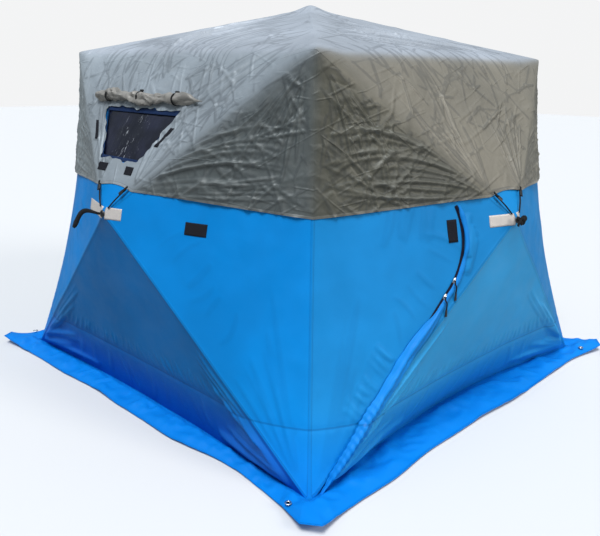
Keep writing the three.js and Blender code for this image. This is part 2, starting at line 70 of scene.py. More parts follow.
HUB_CENTRE_DEPTH = 0.010  # the hub's middle lies this far inside the point where its panels would meet
HUB_CAP_TOP = 0.013
ROOF_CAP_TOP = 0.006  # the roof's cap lies under the cover
HUB_CAP_RADIUS = 0.017
HUB_PLATE_THICK = 0.003
HUB_CORE_RADIUS = 0.011
HUB_RIM = 0.0012
HUB_PLATE_BOTTOM = -0.033
HUB_RADIUS = 0.042
SEAM_REACH = 0.300  # along a pole from its corner
CORNER_SAG = 0.100
EAVE_SAG = 0.015
BASE_SAG = {"front": 0.045, "right": 0.130, "back": 0.090, "left": 0.090}
SAG_DEPTH = 0.55  # share of a panel, from its edge towards the hub, that is drawn in with the edge
POLE_ROUNDING = {"skin": 0.0022, "cover": 0.0080}  # how softly the cloth turns over a pole
SEAM_ROUNDING = {"skin": 0.0110, "cover": 0.0260}  # and over a seam that has no pole under it
EAVE_ROUNDING = {"skin": 0.0150, "cover": 0.0200}  # added along the eaves
POLE_SWELL = 0.0016
CLEARANCE = 0.0032  # the cover never comes closer to the tent than this
SKIN_THICK = 0.0010
COVER_THICK = 0.0012
NEAR_PANELS = ("front_right_panel", "right_left_panel", "back_left_panel", "left_right_panel")  # full folds
FAR_FOLDS = 0.55  # how high the folds of the other side panels stand, as a share

PAINTED_LIGHT_BLEND = 0.010  # how softly one panel's painted light and shade runs into the next
# Painted light and shade: each cover panel gets the silver cloth as lit from where it faces, the roof a
# painted sky reflection, the two near side panels painted shade
ROOF_PAINTED_REFLECTION_TONE = (164, 171, 180)
UPPER_PAINTED_LIGHT_TONE = (124, 119, 107)
SIDE_PAINTED_LIGHT_TONE = (108, 107, 98)
COVER_PAINTED_LIGHT_TONES = {
    "front_upper_panel": (146, 155, 162),
    "front_left_panel": (132, 140, 142),
    "front_right_panel": (79, 85, 85),
    "right_left_panel": (75, 74, 63),
    "right_right_panel": (122, 119, 108),
}
COVER_LIFT = 0.009
HUB_BUMP = 0.0050  # the cloth stands up over each hub
HUB_BUMP_REACH = 0.070
ROOF_BUMP = 0.0180
HEM_HEIGHT = 1.150
HEM_CORNER_DROP = 0.045  # the hem hangs lower at the corner seams than at its ties
HEM_BOW = 0.018
HEM_WIDTH = 0.012
BAND_HEIGHT = 0.27  # the seam of the darker band round the foot of the walls

SKIN_COLUMNS = {"lower": 180, "left": 150, "right": 150, "upper": 84}
SKIN_ROWS = 96
ROOF_SKIN = (60, 30)
COVER_COLUMNS = 300
COVER_ROWS = 116
SIDE_COLUMNS = 190
ROOF_ROWS = 130
NO_POINT_RADIUS = 0.0005  # turned pieces close with a tiny ring instead of a point
WELD_CELL = 0.0003  # points of neighbouring sheets in the same cell share their shading
WELD_SHIFT = 0.0000137  # keeps points on the middle planes off the borders of the cells

POLE_RADIUS = 0.0055
FERRULE_RADIUS = 0.0068
POLE_DEPTH = 0.0095
POLE_FROM_CORNER = 0.032
POLE_FROM_HUB = 0.038

WINDOW_SHIFT = 0.055
WINDOW_TOP = 0.316
WINDOW_BOTTOM = 0.588
WINDOW_TOP_HALF = 0.310
WINDOW_BOTTOM_HALF = 0.160
WINDOW_SASH = 0.004
ROLL_HALF = 0.440
ROLL_RADIUS = 0.0225
ROLL_ABOVE_WINDOW = 0.047
TOGGLES = (-0.27, 0.02, 0.30)  # along the roll, from the window's middle

DOOR_HINGE = 0.285
ZIP_CENTRE = np.array([0.764, 0.440])
ZIP_RADIUS = 0.324
ZIP_BEND = 0.911  # radians: where the zip's arc meets its straight run
ZIP_TOP = 2.06  # radians: where the arc reaches the hem of the cover
ZIP_RUN = 1.05
ZIP_DOWN = np.array([math.sin(ZIP_BEND), -math.cos(ZIP_BEND)])
ZIP_SIDE = np.array([math.cos(ZIP_BEND), math.sin(ZIP_BEND)])
ZIP_TAPE = 0.018

SKIRT_REACH = 0.118
SKIRT_WAVE = 0.012
SKIRT_WAVES = 11  # radians of wave along a side
SKIRT_TIP = 0.060
SKIRT_TIP_RISE = 0.040
SKIRT_TUCK = {"front": 0.060, "right": -0.020, "back": 0.040, "left": 0.030}  # drawn in near one end
SKIRT_COLUMNS = 230
SKIRT_ROWS = 16

CAMERA_PLACE = np.array([2.852, -2.963, 1.676])
CAMERA_AZIMUTH = math.radians(44.4)
CAMERA_ELEVATION = math.radians(15.79)
CAMERA_ROLL = math.radians(0.96)
CAMERA_LENS = 41.04  # millimetres, for a sensor 36 wide


# ---- Small vector helpers ----

def unit(vector):
    vector = np.asarray(vector, float)
    return vector / np.linalg.norm(vector, axis=-1, keepdims=True)


def smooth(value):
    value = np.clip(value, 0, 1)
    return value * value * (3 - 2 * value)


def turned(point, quarter_turns):
    x, y, z = point
    for _ in range(quarter_turns):
        x, y = -y, x
    return np.array([x, y, z], float)


def around(sides):
    """Evenly spaced angles of a full turn."""
    return 2 * math.pi * np.arange(sides) / sides


def share_grid(rows, columns):
    """How far down and how far over each point of a grid lies, from 0 to 1."""
    return np.meshgrid(np.linspace(0, 1, rows + 1), np.linspace(0, 1, columns + 1), indexing="ij")


def crossing(axis):
    """Two directions square to an axis and to each other."""
    first = unit(np.cross(axis, (1, 0, 0) if abs(axis[0]) < 0.8 else (0, 1, 0)))
    return first, np.cross(axis, first)


# ---- Seeded noise, worked out from a point's place, so that neighbouring pieces agree ----

def hashed(cells, salt):
    """Three random numbers from 0 to 1 for every whole-numbered cell."""
    x, y, z = (cells[..., i].astype(np.uint64) for i in range(3))
    mixed = x * np.uint64(73856093) ^ y * np.uint64(19349663) ^ z * np.uint64(83492791)
    mixed = mixed ^ np.uint64(salt * 2654435761)
    numbers = []
    for _ in range(3):
        mixed = mixed * np.uint64(6364136223846793005) + np.uint64(1442695040888963407)
        mixed = mixed ^ (mixed >> np.uint64(33))
        numbers.append((mixed >> np.uint64(11)).astype(float) / 2.0**53)
    return np.stack(numbers, -1)


def rotation(salt):
    """A fixed random turn for each salt, so that creases at different sizes cross at odd angles."""
    random = np.random.default_rng(salt)
    return np.linalg.qr(random.normal(size=(3, 3)))[0]


def creased(points, cell, salt):
    """Random heights from 0 to 1 joined by flat facets: crumpled cloth with straight, sharp creases."""
    spot = points @ rotation(salt) / cell
    home = np.floor(spot).astype(np.int64)
    part = spot - home
    order = np.argsort(-part, axis=1)
    steps = np.take_along_axis(part, order, axis=1)
    weights = [1 - steps[:, 0], steps[:, 0] - steps[:, 1], steps[:, 1] - steps[:, 2], steps[:, 2]]
    corner = home.copy()
    height = np.zeros(len(spot))
    for i in range(4):
        height += weights[i] * (2 * hashed(corner, salt)[:, 0] - 1)
        if i < 3:
            corner[np.arange(len(corner)), order[:, i]] += 1
    return 1 - np.abs(height)


def hills(points, cell, salt):
    """Soft random hills and hollows from -1 to 1."""
    spot = points / cell
    home = np.floor(spot).astype(np.int64)
    share = smooth(spot - home)
    total = np.zeros(len(spot))
    for corner in itertools.product((0, 1), repeat=3):
        weight = np.prod(np.where(corner, share, 1 - share), axis=1)
        total += weight * (2 * hashed(home + np.array(corner), salt)[:, 0] - 1)
    return total


# ---- Panels, read from the frame's joints ----

def make_panel(face, edge, start, end, hub, sag):
    length = np.linalg.norm(end - start)
    along = (end - start) / length
    reach = hub - start
    hub_along = reach @ along
    rise = reach - hub_along * along
    hub_across = np.linalg.norm(rise)
    across = rise / hub_across
    body = f"{face}_{edge}_panel"
    return SimpleNamespace(
        face=face, edge=edge, body=body, start=start, end=end, hub=hub, sag=sag, length=length, along=along,
        across=across, out=np.cross(along, across), hub_along=hub_along, hub_across=hub_across,
        tip=np.array([hub_along, hub_across]),
        start_angle=math.atan2(hub_across, hub_along), end_angle=math.atan2(hub_across, length - hub_along),
    )


def make_face(face, edges, sags):
    out = -unit(JOINTS[f"{face}_hub_pop"]["axis"])
    low, high = (np.array(corner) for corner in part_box(f"{face}_hub"))
    hub = (low + high) / 2 + HUB_CENTRE_DEPTH * out
    starts = [np.array(JOINTS[f"{face}_{edge}_fold"]["pos_m"], float) for edge in edges]
    panels = []
    for i, edge in enumerate(edges):
        panels.append(make_panel(face, edge, starts[i], starts[(i + 1) % 4], hub, sags[i]))
    for i, panel in enumerate(panels):
        panel.before, panel.after = panels[i - 1], panels[(i + 1) % 4]
    return SimpleNamespace(name=face, out=out, hub=hub, panels=panels)


def wall_sags(side, turns):
    diagonal = CORNER_SAG / math.sqrt(2)
    pulls = [(0, BASE_SAG[side], 0), (-diagonal, diagonal, 0), (0, EAVE_SAG, 0), (diagonal, diagonal, 0)]
    return [turned(pull, turns) for pull in pulls]


WALLS = [make_face(side, EDGES, wall_sags(side, turns)) for turns, side in enumerate(SIDES)]
ROOF = make_face("roof", SIDES, [turned((0, EAVE_SAG, 0), turns) for turns in range(4)])
FACES = WALLS + [ROOF]
WALL = {wall.name: wall for wall in WALLS}
PANELS = [panel for face in FACES for panel in face.panels]
PANEL = {panel.body: panel for panel in PANELS}
WINDOW_PANEL = PANEL["front_upper_panel"]
WINDOW_MIDDLE = WINDOW_PANEL.length / 2 + WINDOW_SHIFT
DOOR_PANEL = PANEL["right_left_panel"]
FLOOR_HALF = WALLS[0].panels[0].length / 2
OUTS = np.array([panel.out for panel in PANELS])
OFFSETS = np.array([panel.out @ panel.start for panel in PANELS])
EAVE_HEIGHT = ROOF.panels[0].start[2]
HEM_SHARE = (EAVE_HEIGHT - HEM_HEIGHT) / (EAVE_HEIGHT - WALLS[0].hub[2])  # of an upper pole, from the eave


def rounded(points, radius):
    """The outward direction at each point, smooth over the ridges, and how far a ridge is worn back."""
    radius = np.broadcast_to(radius, (len(points),))[:, None]
    heights = (points @ OUTS.T - OFFSETS) / radius
    top = heights.max(1, keepdims=True)
    shares = np.exp(heights - top)
    total = shares.sum(1, keepdims=True)
    return unit(shares @ OUTS), (radius * (top + np.log(total)))[:, 0]


def nearest_line(points, lines):
    """How far each point is from the nearest of some straight lines, given by their ends."""
    distance = np.full(len(points), np.inf)
    for start, end in lines:
        run = end - start
        share = np.clip((points - start) @ run / max(run @ run, 1e-12), 0, 1)
        distance = np.minimum(distance, np.linalg.norm(points - start - share[:, None] * run, axis=1))
    return distance


POLE_LINES = [(panel.end, panel.hub) for panel in PANELS]
SEAM_LINES = [(panel.start, panel.end) for panel in PANELS if panel.edge != "lower"]


def flat_point(panel, spots):
    spots = np.atleast_2d(spots)
    return panel.start + np.outer(spots[:, 0], panel.along) + np.outer(spots[:, 1], panel.across)


def mirrored(panel, spots):
    """The same spots, measured from the other end of the panel's edge."""
    return np.stack([panel.length - spots[:, 0], spots[:, 1]], -1)


def edge_pull(panel, spots):
    """How far a spot is drawn in with its panel's edge: fully at the edge's middle, not at the poles."""
    left = spots[:, 1] / math.tan(panel.start_angle)
    right = panel.length - spots[:, 1] / math.tan(panel.end_angle)
    share = np.clip((spots[:, 0] - left) / np.maximum(right - left, 1e-4), 0, 1)
    near = np.clip(1 - spots[:, 1] / (SAG_DEPTH * panel.hub_across), 0, 1)
    return np.outer(np.sin(math.pi * share) * near * near, panel.sag)


def pole_distance(panel, spots):
    """How far a spot lies from the nearer of its panel's two poles."""
    first = spots[:, 0] * math.sin(panel.start_angle) - spots[:, 1] * math.cos(panel.start_angle)
    last = (panel.length - spots[:, 0]) * math.sin(panel.end_angle) - spots[:, 1] * math.cos(panel.end_angle)
    return np.minimum(np.abs(first), np.abs(last))


def hub_swell(points):
    """Cloth stands up over the round plate of each hub."""
    swell = np.zeros(len(points))
    for face in FACES:
        height = ROOF_BUMP if face is ROOF else HUB_BUMP
        distance = np.linalg.norm(points - face.hub, axis=1)
        swell += height * np.exp(-((distance / HUB_BUMP_REACH) ** 2))
    return swell


# ---- Wrinkles ----

def crease(spots, path, height, width):
    """A sharp ridge along a path, which dies away at both ends."""
    total = np.zeros(len(spots))
    near = ((spots > path.min(0) - width) & (spots < path.max(0) + width)).all(1)
    close = spots[near]
    best = np.full(len(close), np.inf)
    share = np.zeros(len(close))
    runs = np.diff(path, axis=0)
    lengths = np.linalg.norm(runs, axis=1)
    before = np.concatenate([[0], np.cumsum(lengths)])
    for i, run in enumerate(runs):
        part = np.clip((close - path[i]) @ run / lengths[i] ** 2, 0, 1)
        distance = np.linalg.norm(close - path[i] - part[:, None] * run, axis=1)
        share = np.where(distance < best, (before[i] + part * lengths[i]) / before[-1], share)
        best = np.minimum(distance, best)
    taper = np.clip(4 * share * (1 - share), 0, 1) ** 0.6
    total[near] = height * taper * np.clip(1 - best / width, 0, 1) ** 1.5
    return total


def fan(spots, lines, count, height, width, seed):
    """Ridges that each cross the lines in turn: where folds start, where they bend, and where they end."""
    random = np.random.default_rng(seed)
    lines = [np.array(line, float) for line in lines]
    if len(lines) == 2:
        lines = [lines[0], (lines[0] + lines[1]) / 2, lines[1]]
    total = np.zeros(len(spots))
    for i in range(count):
        first, middle, last = (
            line[0] + (line[1] - line[0]) * (i + 0.5 + random.uniform(-0.35, 0.35)) / count for line in lines)
        middle = middle + random.uniform(-0.03, 0.03) * np.linalg.norm(last - first)
        share = np.linspace(random.uniform(0, 0.2), random.uniform(0.7, 1.0), 8)[:, None]
        path = (1 - share) * (1 - 2 * share) * first + 4 * share * (1 - share) * middle \
            + share * (2 * share - 1) * last
        total += crease(spots, path, height * random.uniform(0.5, 1.3), width * random.uniform(0.7, 1.3))
    return total


def fans(spots, seed, rows):
    """Several fans. Each row holds its lines, ridge count, height, width, and what its seed adds."""
    return sum(fan(spots, lines, *sizes, seed + more) for lines, *sizes, more in rows)


def crease_net(spots, low, high, gap, height, width, seed):
    """Straight creases between neighbouring knots of a loose net, some standing up and some pressed in."""
    random = np.random.default_rng(seed)
    knots = [(a, b) for a in np.arange(low[0], high[0], gap) for b in np.arange(low[1], high[1], gap)]
    knots = np.array(knots) + random.uniform(-0.45, 0.45, (len(knots), 2)) * gap
    total = np.zeros(len(spots))
    for knot in knots:
        nearest = np.argsort(np.linalg.norm(knots - knot, axis=1))[1:6]
        for other in knots[nearest]:
            if random.uniform() < 0.5:
                run = other - knot
                path = np.array([knot - 0.2 * run, other + 0.2 * run])
                size = height * random.uniform(0.35, 1.3) * random.choice([1, 1, -0.8])
                total += crease(spots, path, size, width * random.uniform(0.75, 1.3))
    return total


def stars(spots, low, high, count, reach, height, width, seed):
    """Short ridges that spread from a few scattered points, where the cloth was once folded to a corner."""
    random = np.random.default_rng(seed)
    total = np.zeros(len(spots))
    for _ in range(count):
        centre = np.array([random.uniform(low[i], high[i]) for i in range(2)])
        turn = random.uniform(0, 6)
        for _ in range(random.integers(5, 9)):
            turn += random.uniform(0.5, 1.2)
            length = reach * random.uniform(0.5, 1.2)
            tip = centre + length * np.array([math.cos(turn), math.sin(turn)])
            begin = centre - 0.12 * (tip - centre)
            total += crease(spots, np.array([begin, tip]), height * random.uniform(0.5, 1.2), width)
    return total


def lower_wall_folds(panel, spots, seed):
    """Tension folds from both pegged corners, and gathers along the seam of the darker band."""
    length = panel.length
    band = BAND_HEIGHT / panel.across[2]
    total = np.zeros(len(spots))
    for place in (spots, mirrored(panel, spots)):
        seed += 1
        total += fans(place, seed, [
            ([((0.05, 0.03), (0.09, 0.10)), ((0.30, 0.06), (0.26, 0.22)), ((0.80, 0.05), (0.42, 0.36))],
             8, 0.0150, 0.036, 0),
            ([((0.16, 0.10), (0.20, 0.15)), ((0.45, 0.28), (0.40, 0.34)), ((0.86, 0.58), (0.80, 0.66))],
             6, 0.0085, 0.020, 4),
        ])
    return total + fans(spots, seed, [
        ([((0.36, band), (length - 0.36, band)), ((0.44, band + 0.10), (length - 0.44, band + 0.12))],
         34, 0.0062, 0.015, 8),
        ([((0.5, 0.03), (length - 0.5, 0.03)), ((0.6, band), (length - 0.6, band))], 10, 0.0060, 0.034, 9),
    ])


def side_wall_folds(panel, spots, seed):
    """Fainter folds that rise from a wall's foot beside its corner seam."""
    return fans(foot_spots(panel, spots), seed, [
        ([((0.04, 0.03), (0.05, 0.06)), ((0.40, 0.10), (0.30, 0.24)), ((1.0, 0.16), (0.62, 0.52))],
         6, 0.0022, 0.028, 1),
        ([((0.26, 0.04), (0.26, 0.20)), ((0.30, 0.05), (0.30, 0.22))], 2, 0.0020, 0.030, 2),
        ([((0.55, 0.40), (1.05, 0.85)), ((0.75, 0.34), (1.15, 0.55))], 6, 0.0020, 0.024, 3),
    ])


def skin_folds(panel, spots):
    """All the folds of the tent's skin on one panel. The roof and the upper panels are pulled flat."""
    seed = 100 + 20 * PANELS.index(panel)
    total = np.zeros(len(spots))
    if panel.face != "roof" and panel.edge == "lower":
        total += lower_wall_folds(panel, spots, seed)
    if panel.face != "roof" and panel.edge in ("left", "right"):
        total += side_wall_folds(panel, spots, seed)
    if panel is DOOR_PANEL:
        total += zip_puckers(spots)
    return total


def zip_puckers(spots):
    """Combs of small folds on both sides of the door's zip, and slack folds in the door beside it."""
    bend = zip_point(ZIP_BEND)

    def at(down, aside):
        return bend + down * ZIP_DOWN + aside * ZIP_SIDE

    return fans(spots, 30, [
        ([(at(0.12, 0.035), at(0.70, 0.035)), (at(0.06, 0.165), at(0.658, 0.126))], 22, 0.0100, 0.017, 1),
        ([(at(0.40, -0.02), at(0.74, -0.02)), (at(0.40, -0.17), at(0.74, -0.14))], 8, 0.0060, 0.020, 2),
        ([(at(0.80, -0.02), at(1.02, -0.02)), (at(0.80, 0.05), at(1.02, 0.04))], 12, 0.0050, 0.011, 5),
        ([((0.58, 0.78), (0.72, 0.86)), ((0.88, 0.79), (0.92, 0.79))], 5, 0.0085, 0.030, 3),
        ([((0.52, 0.35), (0.56, 0.62)), ((0.80, 0.30), (0.84, 0.60))], 5, 0.0030, 0.030, 4),
    ])


def foot_spots(panel, spots):
    """Spots on a wall's side panel, measured from its foot upwards."""
    return mirrored(panel, spots) if panel.edge == "left" else spots


def top_spots(panel, spots):
    """Spots on a wall's side panel, measured from its top downwards."""
    return mirrored(panel, spots) if panel.edge == "right" else spots


def eave_spots(panel, spots):
    """Spots laid flat across the eave, so that a fold can run from the roof down over it."""
    return spots if panel.face == "roof" else mirrored(panel, spots) * (1, -1)


def drape_folds(side, spots):
    """Folds in the cover that run over one side's eave. The roof is above zero and the wall is below."""
    seed = 700 + 10 * SIDES.index(side)
    if side in ("front", "back"):
        return fans(spots, seed, [
            ([((0.95, 0.88), (1.45, 0.36)), ((0.62, 0.40), (1.30, 0.10)), ((0.95, -0.24), (1.42, -0.24))],
             17, 0.0100, 0.019, 0),
            ([((0.90, 0.90), (0.95, 0.80)), ((0.48, 0.42), (0.70, 0.36)), ((0.15, 0.05), (0.60, 0.02))],
             10, 0.0080, 0.019, 1),
            ([((1.62, 0.14), (1.66, 0.08)), ((1.45, -0.03), (1.55, -0.10)), ((1.18, -0.26), (1.10, -0.42))],
             8, 0.0080, 0.017, 2),
            ([((0.28, 0.10), (0.90, 0.06)), ((0.34, -0.24), (0.92, -0.22))], 9, 0.0032, 0.018, 3),
        ])
    return fans(spots, seed, [
        ([((0.30, 0.28), (0.92, 0.92)), ((0.80, 0.16), (1.05, 0.60)), ((1.40, 0.05), (1.74, 0.13))],
         17, 0.0085, 0.018, 0),
        ([((0.30, 0.16), (1.50, 0.10)), ((0.36, -0.16), (1.46, -0.20))], 15, 0.0040, 0.018, 1),
        ([((0.62, 0.02), (0.70, 0.02)), ((0.66, -0.62), (0.72, -0.66))], 2, 0.0075, 0.030, 2),
    ])


def cover_drop(panel):
    """How far the cover reaches down a wall's corner seam."""
    return (EAVE_HEIGHT - HEM_HEIGHT) / abs(panel.along[2])


def upper_cover_folds(panel, spots, seed):
    length = panel.length
    tie = HEM_SHARE * panel.tip
    total = crease_net(spots, (0.1, 0.0), (length - 0.1, 0.7), 0.13, 0.0026, 0.014, seed + 5)
    total += stars(spots, (0.35, 0.10), (length - 0.35, 0.45), 6, 0.16, 0.0032, 0.015, seed)
    for place in (spots, mirrored(panel, spots)):
        seed += 1
        total += fan(place, [(tie, tie), ((0.40, 0.24), (0.86, 0.30))], 8, 0.0055, 0.016, seed)
    return total


def side_cover_folds(panel, spots, seed):
    place = top_spots(panel, spots)
    drop = cover_drop(panel)
    tie = HEM_SHARE * top_spots(panel, panel.tip[None])[0]
    total = crease_net(place, (0.0, 0.0), (drop + 0.1, tie[1]), 0.125, 0.0042, 0.014, seed + 5)
    total += crease_net(place, (0.0, 0.0), (drop + 0.1, tie[1]), 0.074, 0.0020, 0.010, seed + 6)
    total += fans(place, seed, [
        ([(tie, tie - (0.05, 0)), ((0.52, 0.45), (0.30, 0.40)), ((drop + 0.01, 0.05), (0.30, 0.05))],
         10, 0.0062, 0.014, 0),
        ([(tie + (0.02, -0.04), tie - (0.02, 0.10)), ((drop + 0.02, 0.40), (drop - 0.12, 0.36)),
          ((drop + 0.02, 0.06), (drop - 0.16, 0.05))], 7, 0.0060, 0.013, 1),
        ([((0.07, 0.04), (0.09, 0.06)), ((0.30, 0.06), (0.22, 0.22)), ((0.62, 0.08), (0.44, 0.46))],
         8, 0.0050, 0.014, 2),
        ([((0.20, 0.20), (0.50, 0.62)), ((0.34, 0.05), (0.64, 0.40))], 8, 0.0048, 0.014, 3),
    ])
    return total + stars(place, (0.15, 0.08), (0.60, 0.42), 5, 0.24, 0.0050, 0.013, seed + 4)


def cover_folds(panel, spots):
    """Nets and stars of old folding creases, and fans that gather at the two ties of each hem."""
    seed = 500 + 10 * PANELS.index(panel)
    if panel.face == "roof":
        total = crease_net(spots, (0.2, 0.0), (panel.length - 0.2, 1.0), 0.17, 0.0022, 0.015, seed + 5)
        return total + stars(spots, (0.4, 0.1), (panel.length - 0.4, 0.5), 5, 0.20, 0.0030, 0.016, seed)
    if panel.edge == "upper":
        return upper_cover_folds(panel, spots, seed)
    return side_cover_folds(panel, spots, seed)


def skin_height(panel, spots, places):
    height = 0.0026 * hills(places, 0.42, 3) + 0.0030 * (creased(places, 0.30, 5) - 0.6)
    free = smooth(spots[:, 1] / 0.04) * smooth(pole_distance(panel, spots) / 0.04)
    height += skin_folds(panel, spots) * free
    height += POLE_SWELL * np.clip(1 - nearest_line(places, POLE_LINES) / 0.02, 0, 1)
    if panel.face != "roof":
        height -= 0.0030 * np.clip(1 - np.abs(places[:, 2] - BAND_HEIGHT) / 0.018, 0, 1) ** 1.5
    return height + hub_swell(places)


def crumple(places):
    """Cloth that was folded small and shaken out: broad facets that meet at slight angles."""
    return 0.0100 * creased(places, 0.34, 21) + 0.0060 * creased(places, 0.17, 22) - 0.011


def cover_creases(panel, spots):
    """All the folds of the cover on one panel. They die away at the poles and at the seams."""
    drapes = panel.face == "roof" or panel.edge == "upper"
    size = 1.0 if drapes or panel.body in NEAR_PANELS else FAR_FOLDS
    total = cover_folds(panel, spots) * smooth(spots[:, 1] / 0.08) * size
    if drapes:
        side = panel.edge if panel.face == "roof" else panel.face
        total += drape_folds(side, eave_spots(panel, spots))
    return total * smooth(pole_distance(panel, spots) / 0.030)


def cover_height(panel, spots, places):
    direction = rounded(places, 0.03)[0]
    steep = smooth((0.62 - direction[:, 2]) / 0.35)
    taut = 0.35 + 0.65 * smooth(nearest_line(places, SEAM_LINES) / 0.14)
    height = COVER_LIFT + crumple(places) * (0.50 + 0.50 * steep) * taut
    height += cover_creases(panel, spots)
    return height + hub_swell(places)


def surface(panel, spots, layer, lift=0.0):
    """Points and outward directions of a layer of cloth at spots on a panel."""
    spots = np.atleast_2d(np.asarray(spots, float))
    places = flat_point(panel, spots)
    free = smooth(nearest_line(places, POLE_LINES) / 0.14)
    eave = smooth((places[:, 2] - EAVE_HEIGHT + 0.20) / 0.18)
    radius = {}
    for cloth in ("skin", "cover"):
        spread = SEAM_ROUNDING[cloth] - POLE_ROUNDING[cloth] + EAVE_ROUNDING[cloth] * eave
        radius[cloth] = POLE_ROUNDING[cloth] + spread * free
    normals, worn = rounded(places, radius["skin"])
    height = skin_height(panel, spots, places) - worn
    if layer == "cover":
        least = height + CLEARANCE
        normals, worn = rounded(places, radius["cover"])
        height = np.maximum(cover_height(panel, spots, places) - worn, least)
    points = places + edge_pull(panel, spots) + normals * (height + lift)[:, None]
    return points, normals


# ---- Sheets: spots on a panel and the faces between them ----

def grid_faces(rows, columns, tip=None):
    """Faces of a grid of spots, and the grid of point numbers. At a tip, a whole row is one point."""
    ids = np.arange((rows + 1) * (columns + 1)).reshape(rows + 1, columns + 1)
    if tip is not None:
        ids[tip, :] = ids[tip, 0]
    corners = (ids[:-1, :-1], ids[:-1, 1:], ids[1:, 1:], ids[1:, :-1])
    return ids, np.stack([corner.ravel() for corner in corners], -1)


def compact(spots, faces):
    used, renumbered = np.unique(faces, return_inverse=True)
    return spots[used], renumbered.reshape(faces.shape)


def triangle_spots(panel, columns, rows):
    up, over = share_grid(rows, columns)
    along = over * panel.length * (1 - up) + panel.hub_along * up
    return np.stack([along.ravel(), (up * panel.hub_across).ravel()], -1), grid_faces(rows, columns, tip=-1)


def upper_cover_spots(panel):
    """From the eave down to the hem, which bows up between its two ties."""
    down, over = share_grid(COVER_ROWS, COVER_COLUMNS)
    reach = HEM_SHARE * down
    along = over * panel.length * (1 - reach) + panel.hub_along * reach
    across = reach * panel.hub_across - HEM_BOW * down**3 * np.sin(math.pi * over)
    return np.stack([along.ravel(), across.ravel()], -1), grid_faces(COVER_ROWS, COVER_COLUMNS)


def side_cover_spots(panel):
    """From the eave's corner down to the hem, between a wall's corner seam and its upper pole."""
    way = 1 if panel.edge == "left" else -1
    corner = np.array([0.0 if panel.edge == "left" else panel.length, 0.0])
    seam = (way * (cover_drop(panel) + HEM_CORNER_DROP), 0.0)
    pole = HEM_SHARE * (panel.tip - corner)
    down, over = share_grid(COVER_ROWS, SIDE_COLUMNS)
    spots = corner + down[..., None] * (seam + (pole - seam) * over[..., None])
    spots[..., 0] -= way * HEM_BOW * 0.5 * down**4 * np.sin(math.pi * over)
    return spots.reshape(-1, 2), grid_faces(COVER_ROWS, SIDE_COLUMNS, tip=0)


def sides_of(loop):
    return list(zip(loop, np.roll(loop, -1, axis=0)))


def inside(spots, loop):
    """Which spots lie inside a closed loop."""
    found = np.zeros(len(spots), bool)
    for (ax, ay), (bx, by) in sides_of(loop):
        crosses = (ay > spots[:, 1]) != (by > spots[:, 1])
        with np.errstate(divide="ignore", invalid="ignore"):
            where = ax + (spots[:, 1] - ay) * (bx - ax) / (by - ay)
        found ^= crosses & (spots[:, 0] < where)
    return found



def grid_border(ids):
    loop = [*ids[0, :], *ids[1:, -1], *ids[-1, -2::-1], *ids[-2:0:-1, 0]]
    return list(dict.fromkeys(int(index) for index in loop))


def cut_sheet(border, filling, holes, spacing):
    """Triangles that fill a border loop and leave out the holes, with the filling spots inside."""
    loops = [np.asarray(loop, float) for loop in [border, *holes]]
    keep = inside(filling, loops[0]) & (nearest_line(filling, sides_of(loops[0])) > 0.35 * spacing)
    for hole in loops[1:]:
        keep &= ~inside(filling, hole) & (nearest_line(filling, sides_of(hole)) > 0.45 * spacing)
    edges, start = [], 0
    for loop in loops:
        edges += [(start + i, start + (i + 1) % len(loop)) for i in range(len(loop))]
        start += len(loop)
    spots = np.vstack([*loops, filling[keep]])
    result = geometry.delaunay_2d_cdt([Vector(spot) for spot in spots], edges, [], 0, 1e-7)
    spots = np.array([tuple(spot) for spot in result[0]])
    faces = np.array([tuple(face) for face in result[2]])
    middles = spots[faces].mean(1)
    good = inside(middles, loops[0])
    for hole in loops[1:]:
        good &= ~inside(middles, hole)
    faces = faces[good]
    return compact(spots, np.hstack([faces, faces[:, 2:]]))


def resampled(loop, spacing):
    """A closed loop with a point about every spacing."""
    points = []
    for a, b in sides_of(loop):
        steps = max(1, round(float(np.linalg.norm(b - a)) / spacing))
        points += [a + (b - a) * i / steps for i in range(steps)]
    return np.array(points)


# ---- Meshes ----

def border_edges(faces):
    """Edges that only one face uses, each in that face's direction."""
    seen = {}
    for face in faces:
        ring = list(dict.fromkeys(int(index) for index in face))
        for a, b in zip(ring, ring[1:] + ring[:1]):
            if (b, a) in seen:
                del seen[(b, a)]
            else:
                seen[(a, b)] = True
    return list(seen)


def face_areas(sheet):
    corners = sheet.outer[sheet.faces]
    return np.cross(corners[:, 2] - corners[:, 0], corners[:, 3] - corners[:, 1])


def facing_out(sheet):
    if (face_areas(sheet) * sheet.normals[sheet.faces[:, 0]]).sum() < 0:
        sheet.faces = sheet.faces[:, ::-1]
    return sheet


def make_sheet(name, panel, spots, faces, layer, lift=0.0):
    spots, faces = compact(spots, faces)
    outer, normals = surface(panel, spots, layer, lift)
    sheet = SimpleNamespace(name=name, panel=panel, spots=spots, faces=faces, outer=outer, normals=normals,
                            places=flat_point(panel, spots))
    return facing_out(sheet)


def weld_normals(sheets):
    """Shading directions that run on smoothly from each sheet to its neighbours."""
    points = np.vstack([sheet.outer for sheet in sheets])
    keys = np.round((points + WELD_SHIFT) / WELD_CELL).astype(np.int64)
    ids = np.unique(keys, axis=0, return_inverse=True)[1].ravel()
    parts = np.split(ids, np.cumsum([len(sheet.outer) for sheet in sheets])[:-1])
    total = np.zeros((ids.max() + 1, 3))
    for sheet, own in zip(sheets, parts):
        area = face_areas(sheet)
        for column in range(4):
            np.add.at(total, own[sheet.faces[:, column]], area)
    for sheet, own in zip(sheets, parts):
        sheet.shading = unit(total[own] + 1e-12)


def new_object(name, points, faces, finish, smooth_faces=True):
    mesh = bpy.data.meshes.new(name)
    mesh.from_pydata([tuple(point) for point in points], [], faces)
    mesh.polygons.foreach_set("use_smooth", [smooth_faces] * len(mesh.polygons))
    mesh.materials.append(finish)
    mesh.update()
    piece = bpy.data.objects.new(name, mesh)
    bpy.context.scene.collection.objects.link(piece)
    return piece


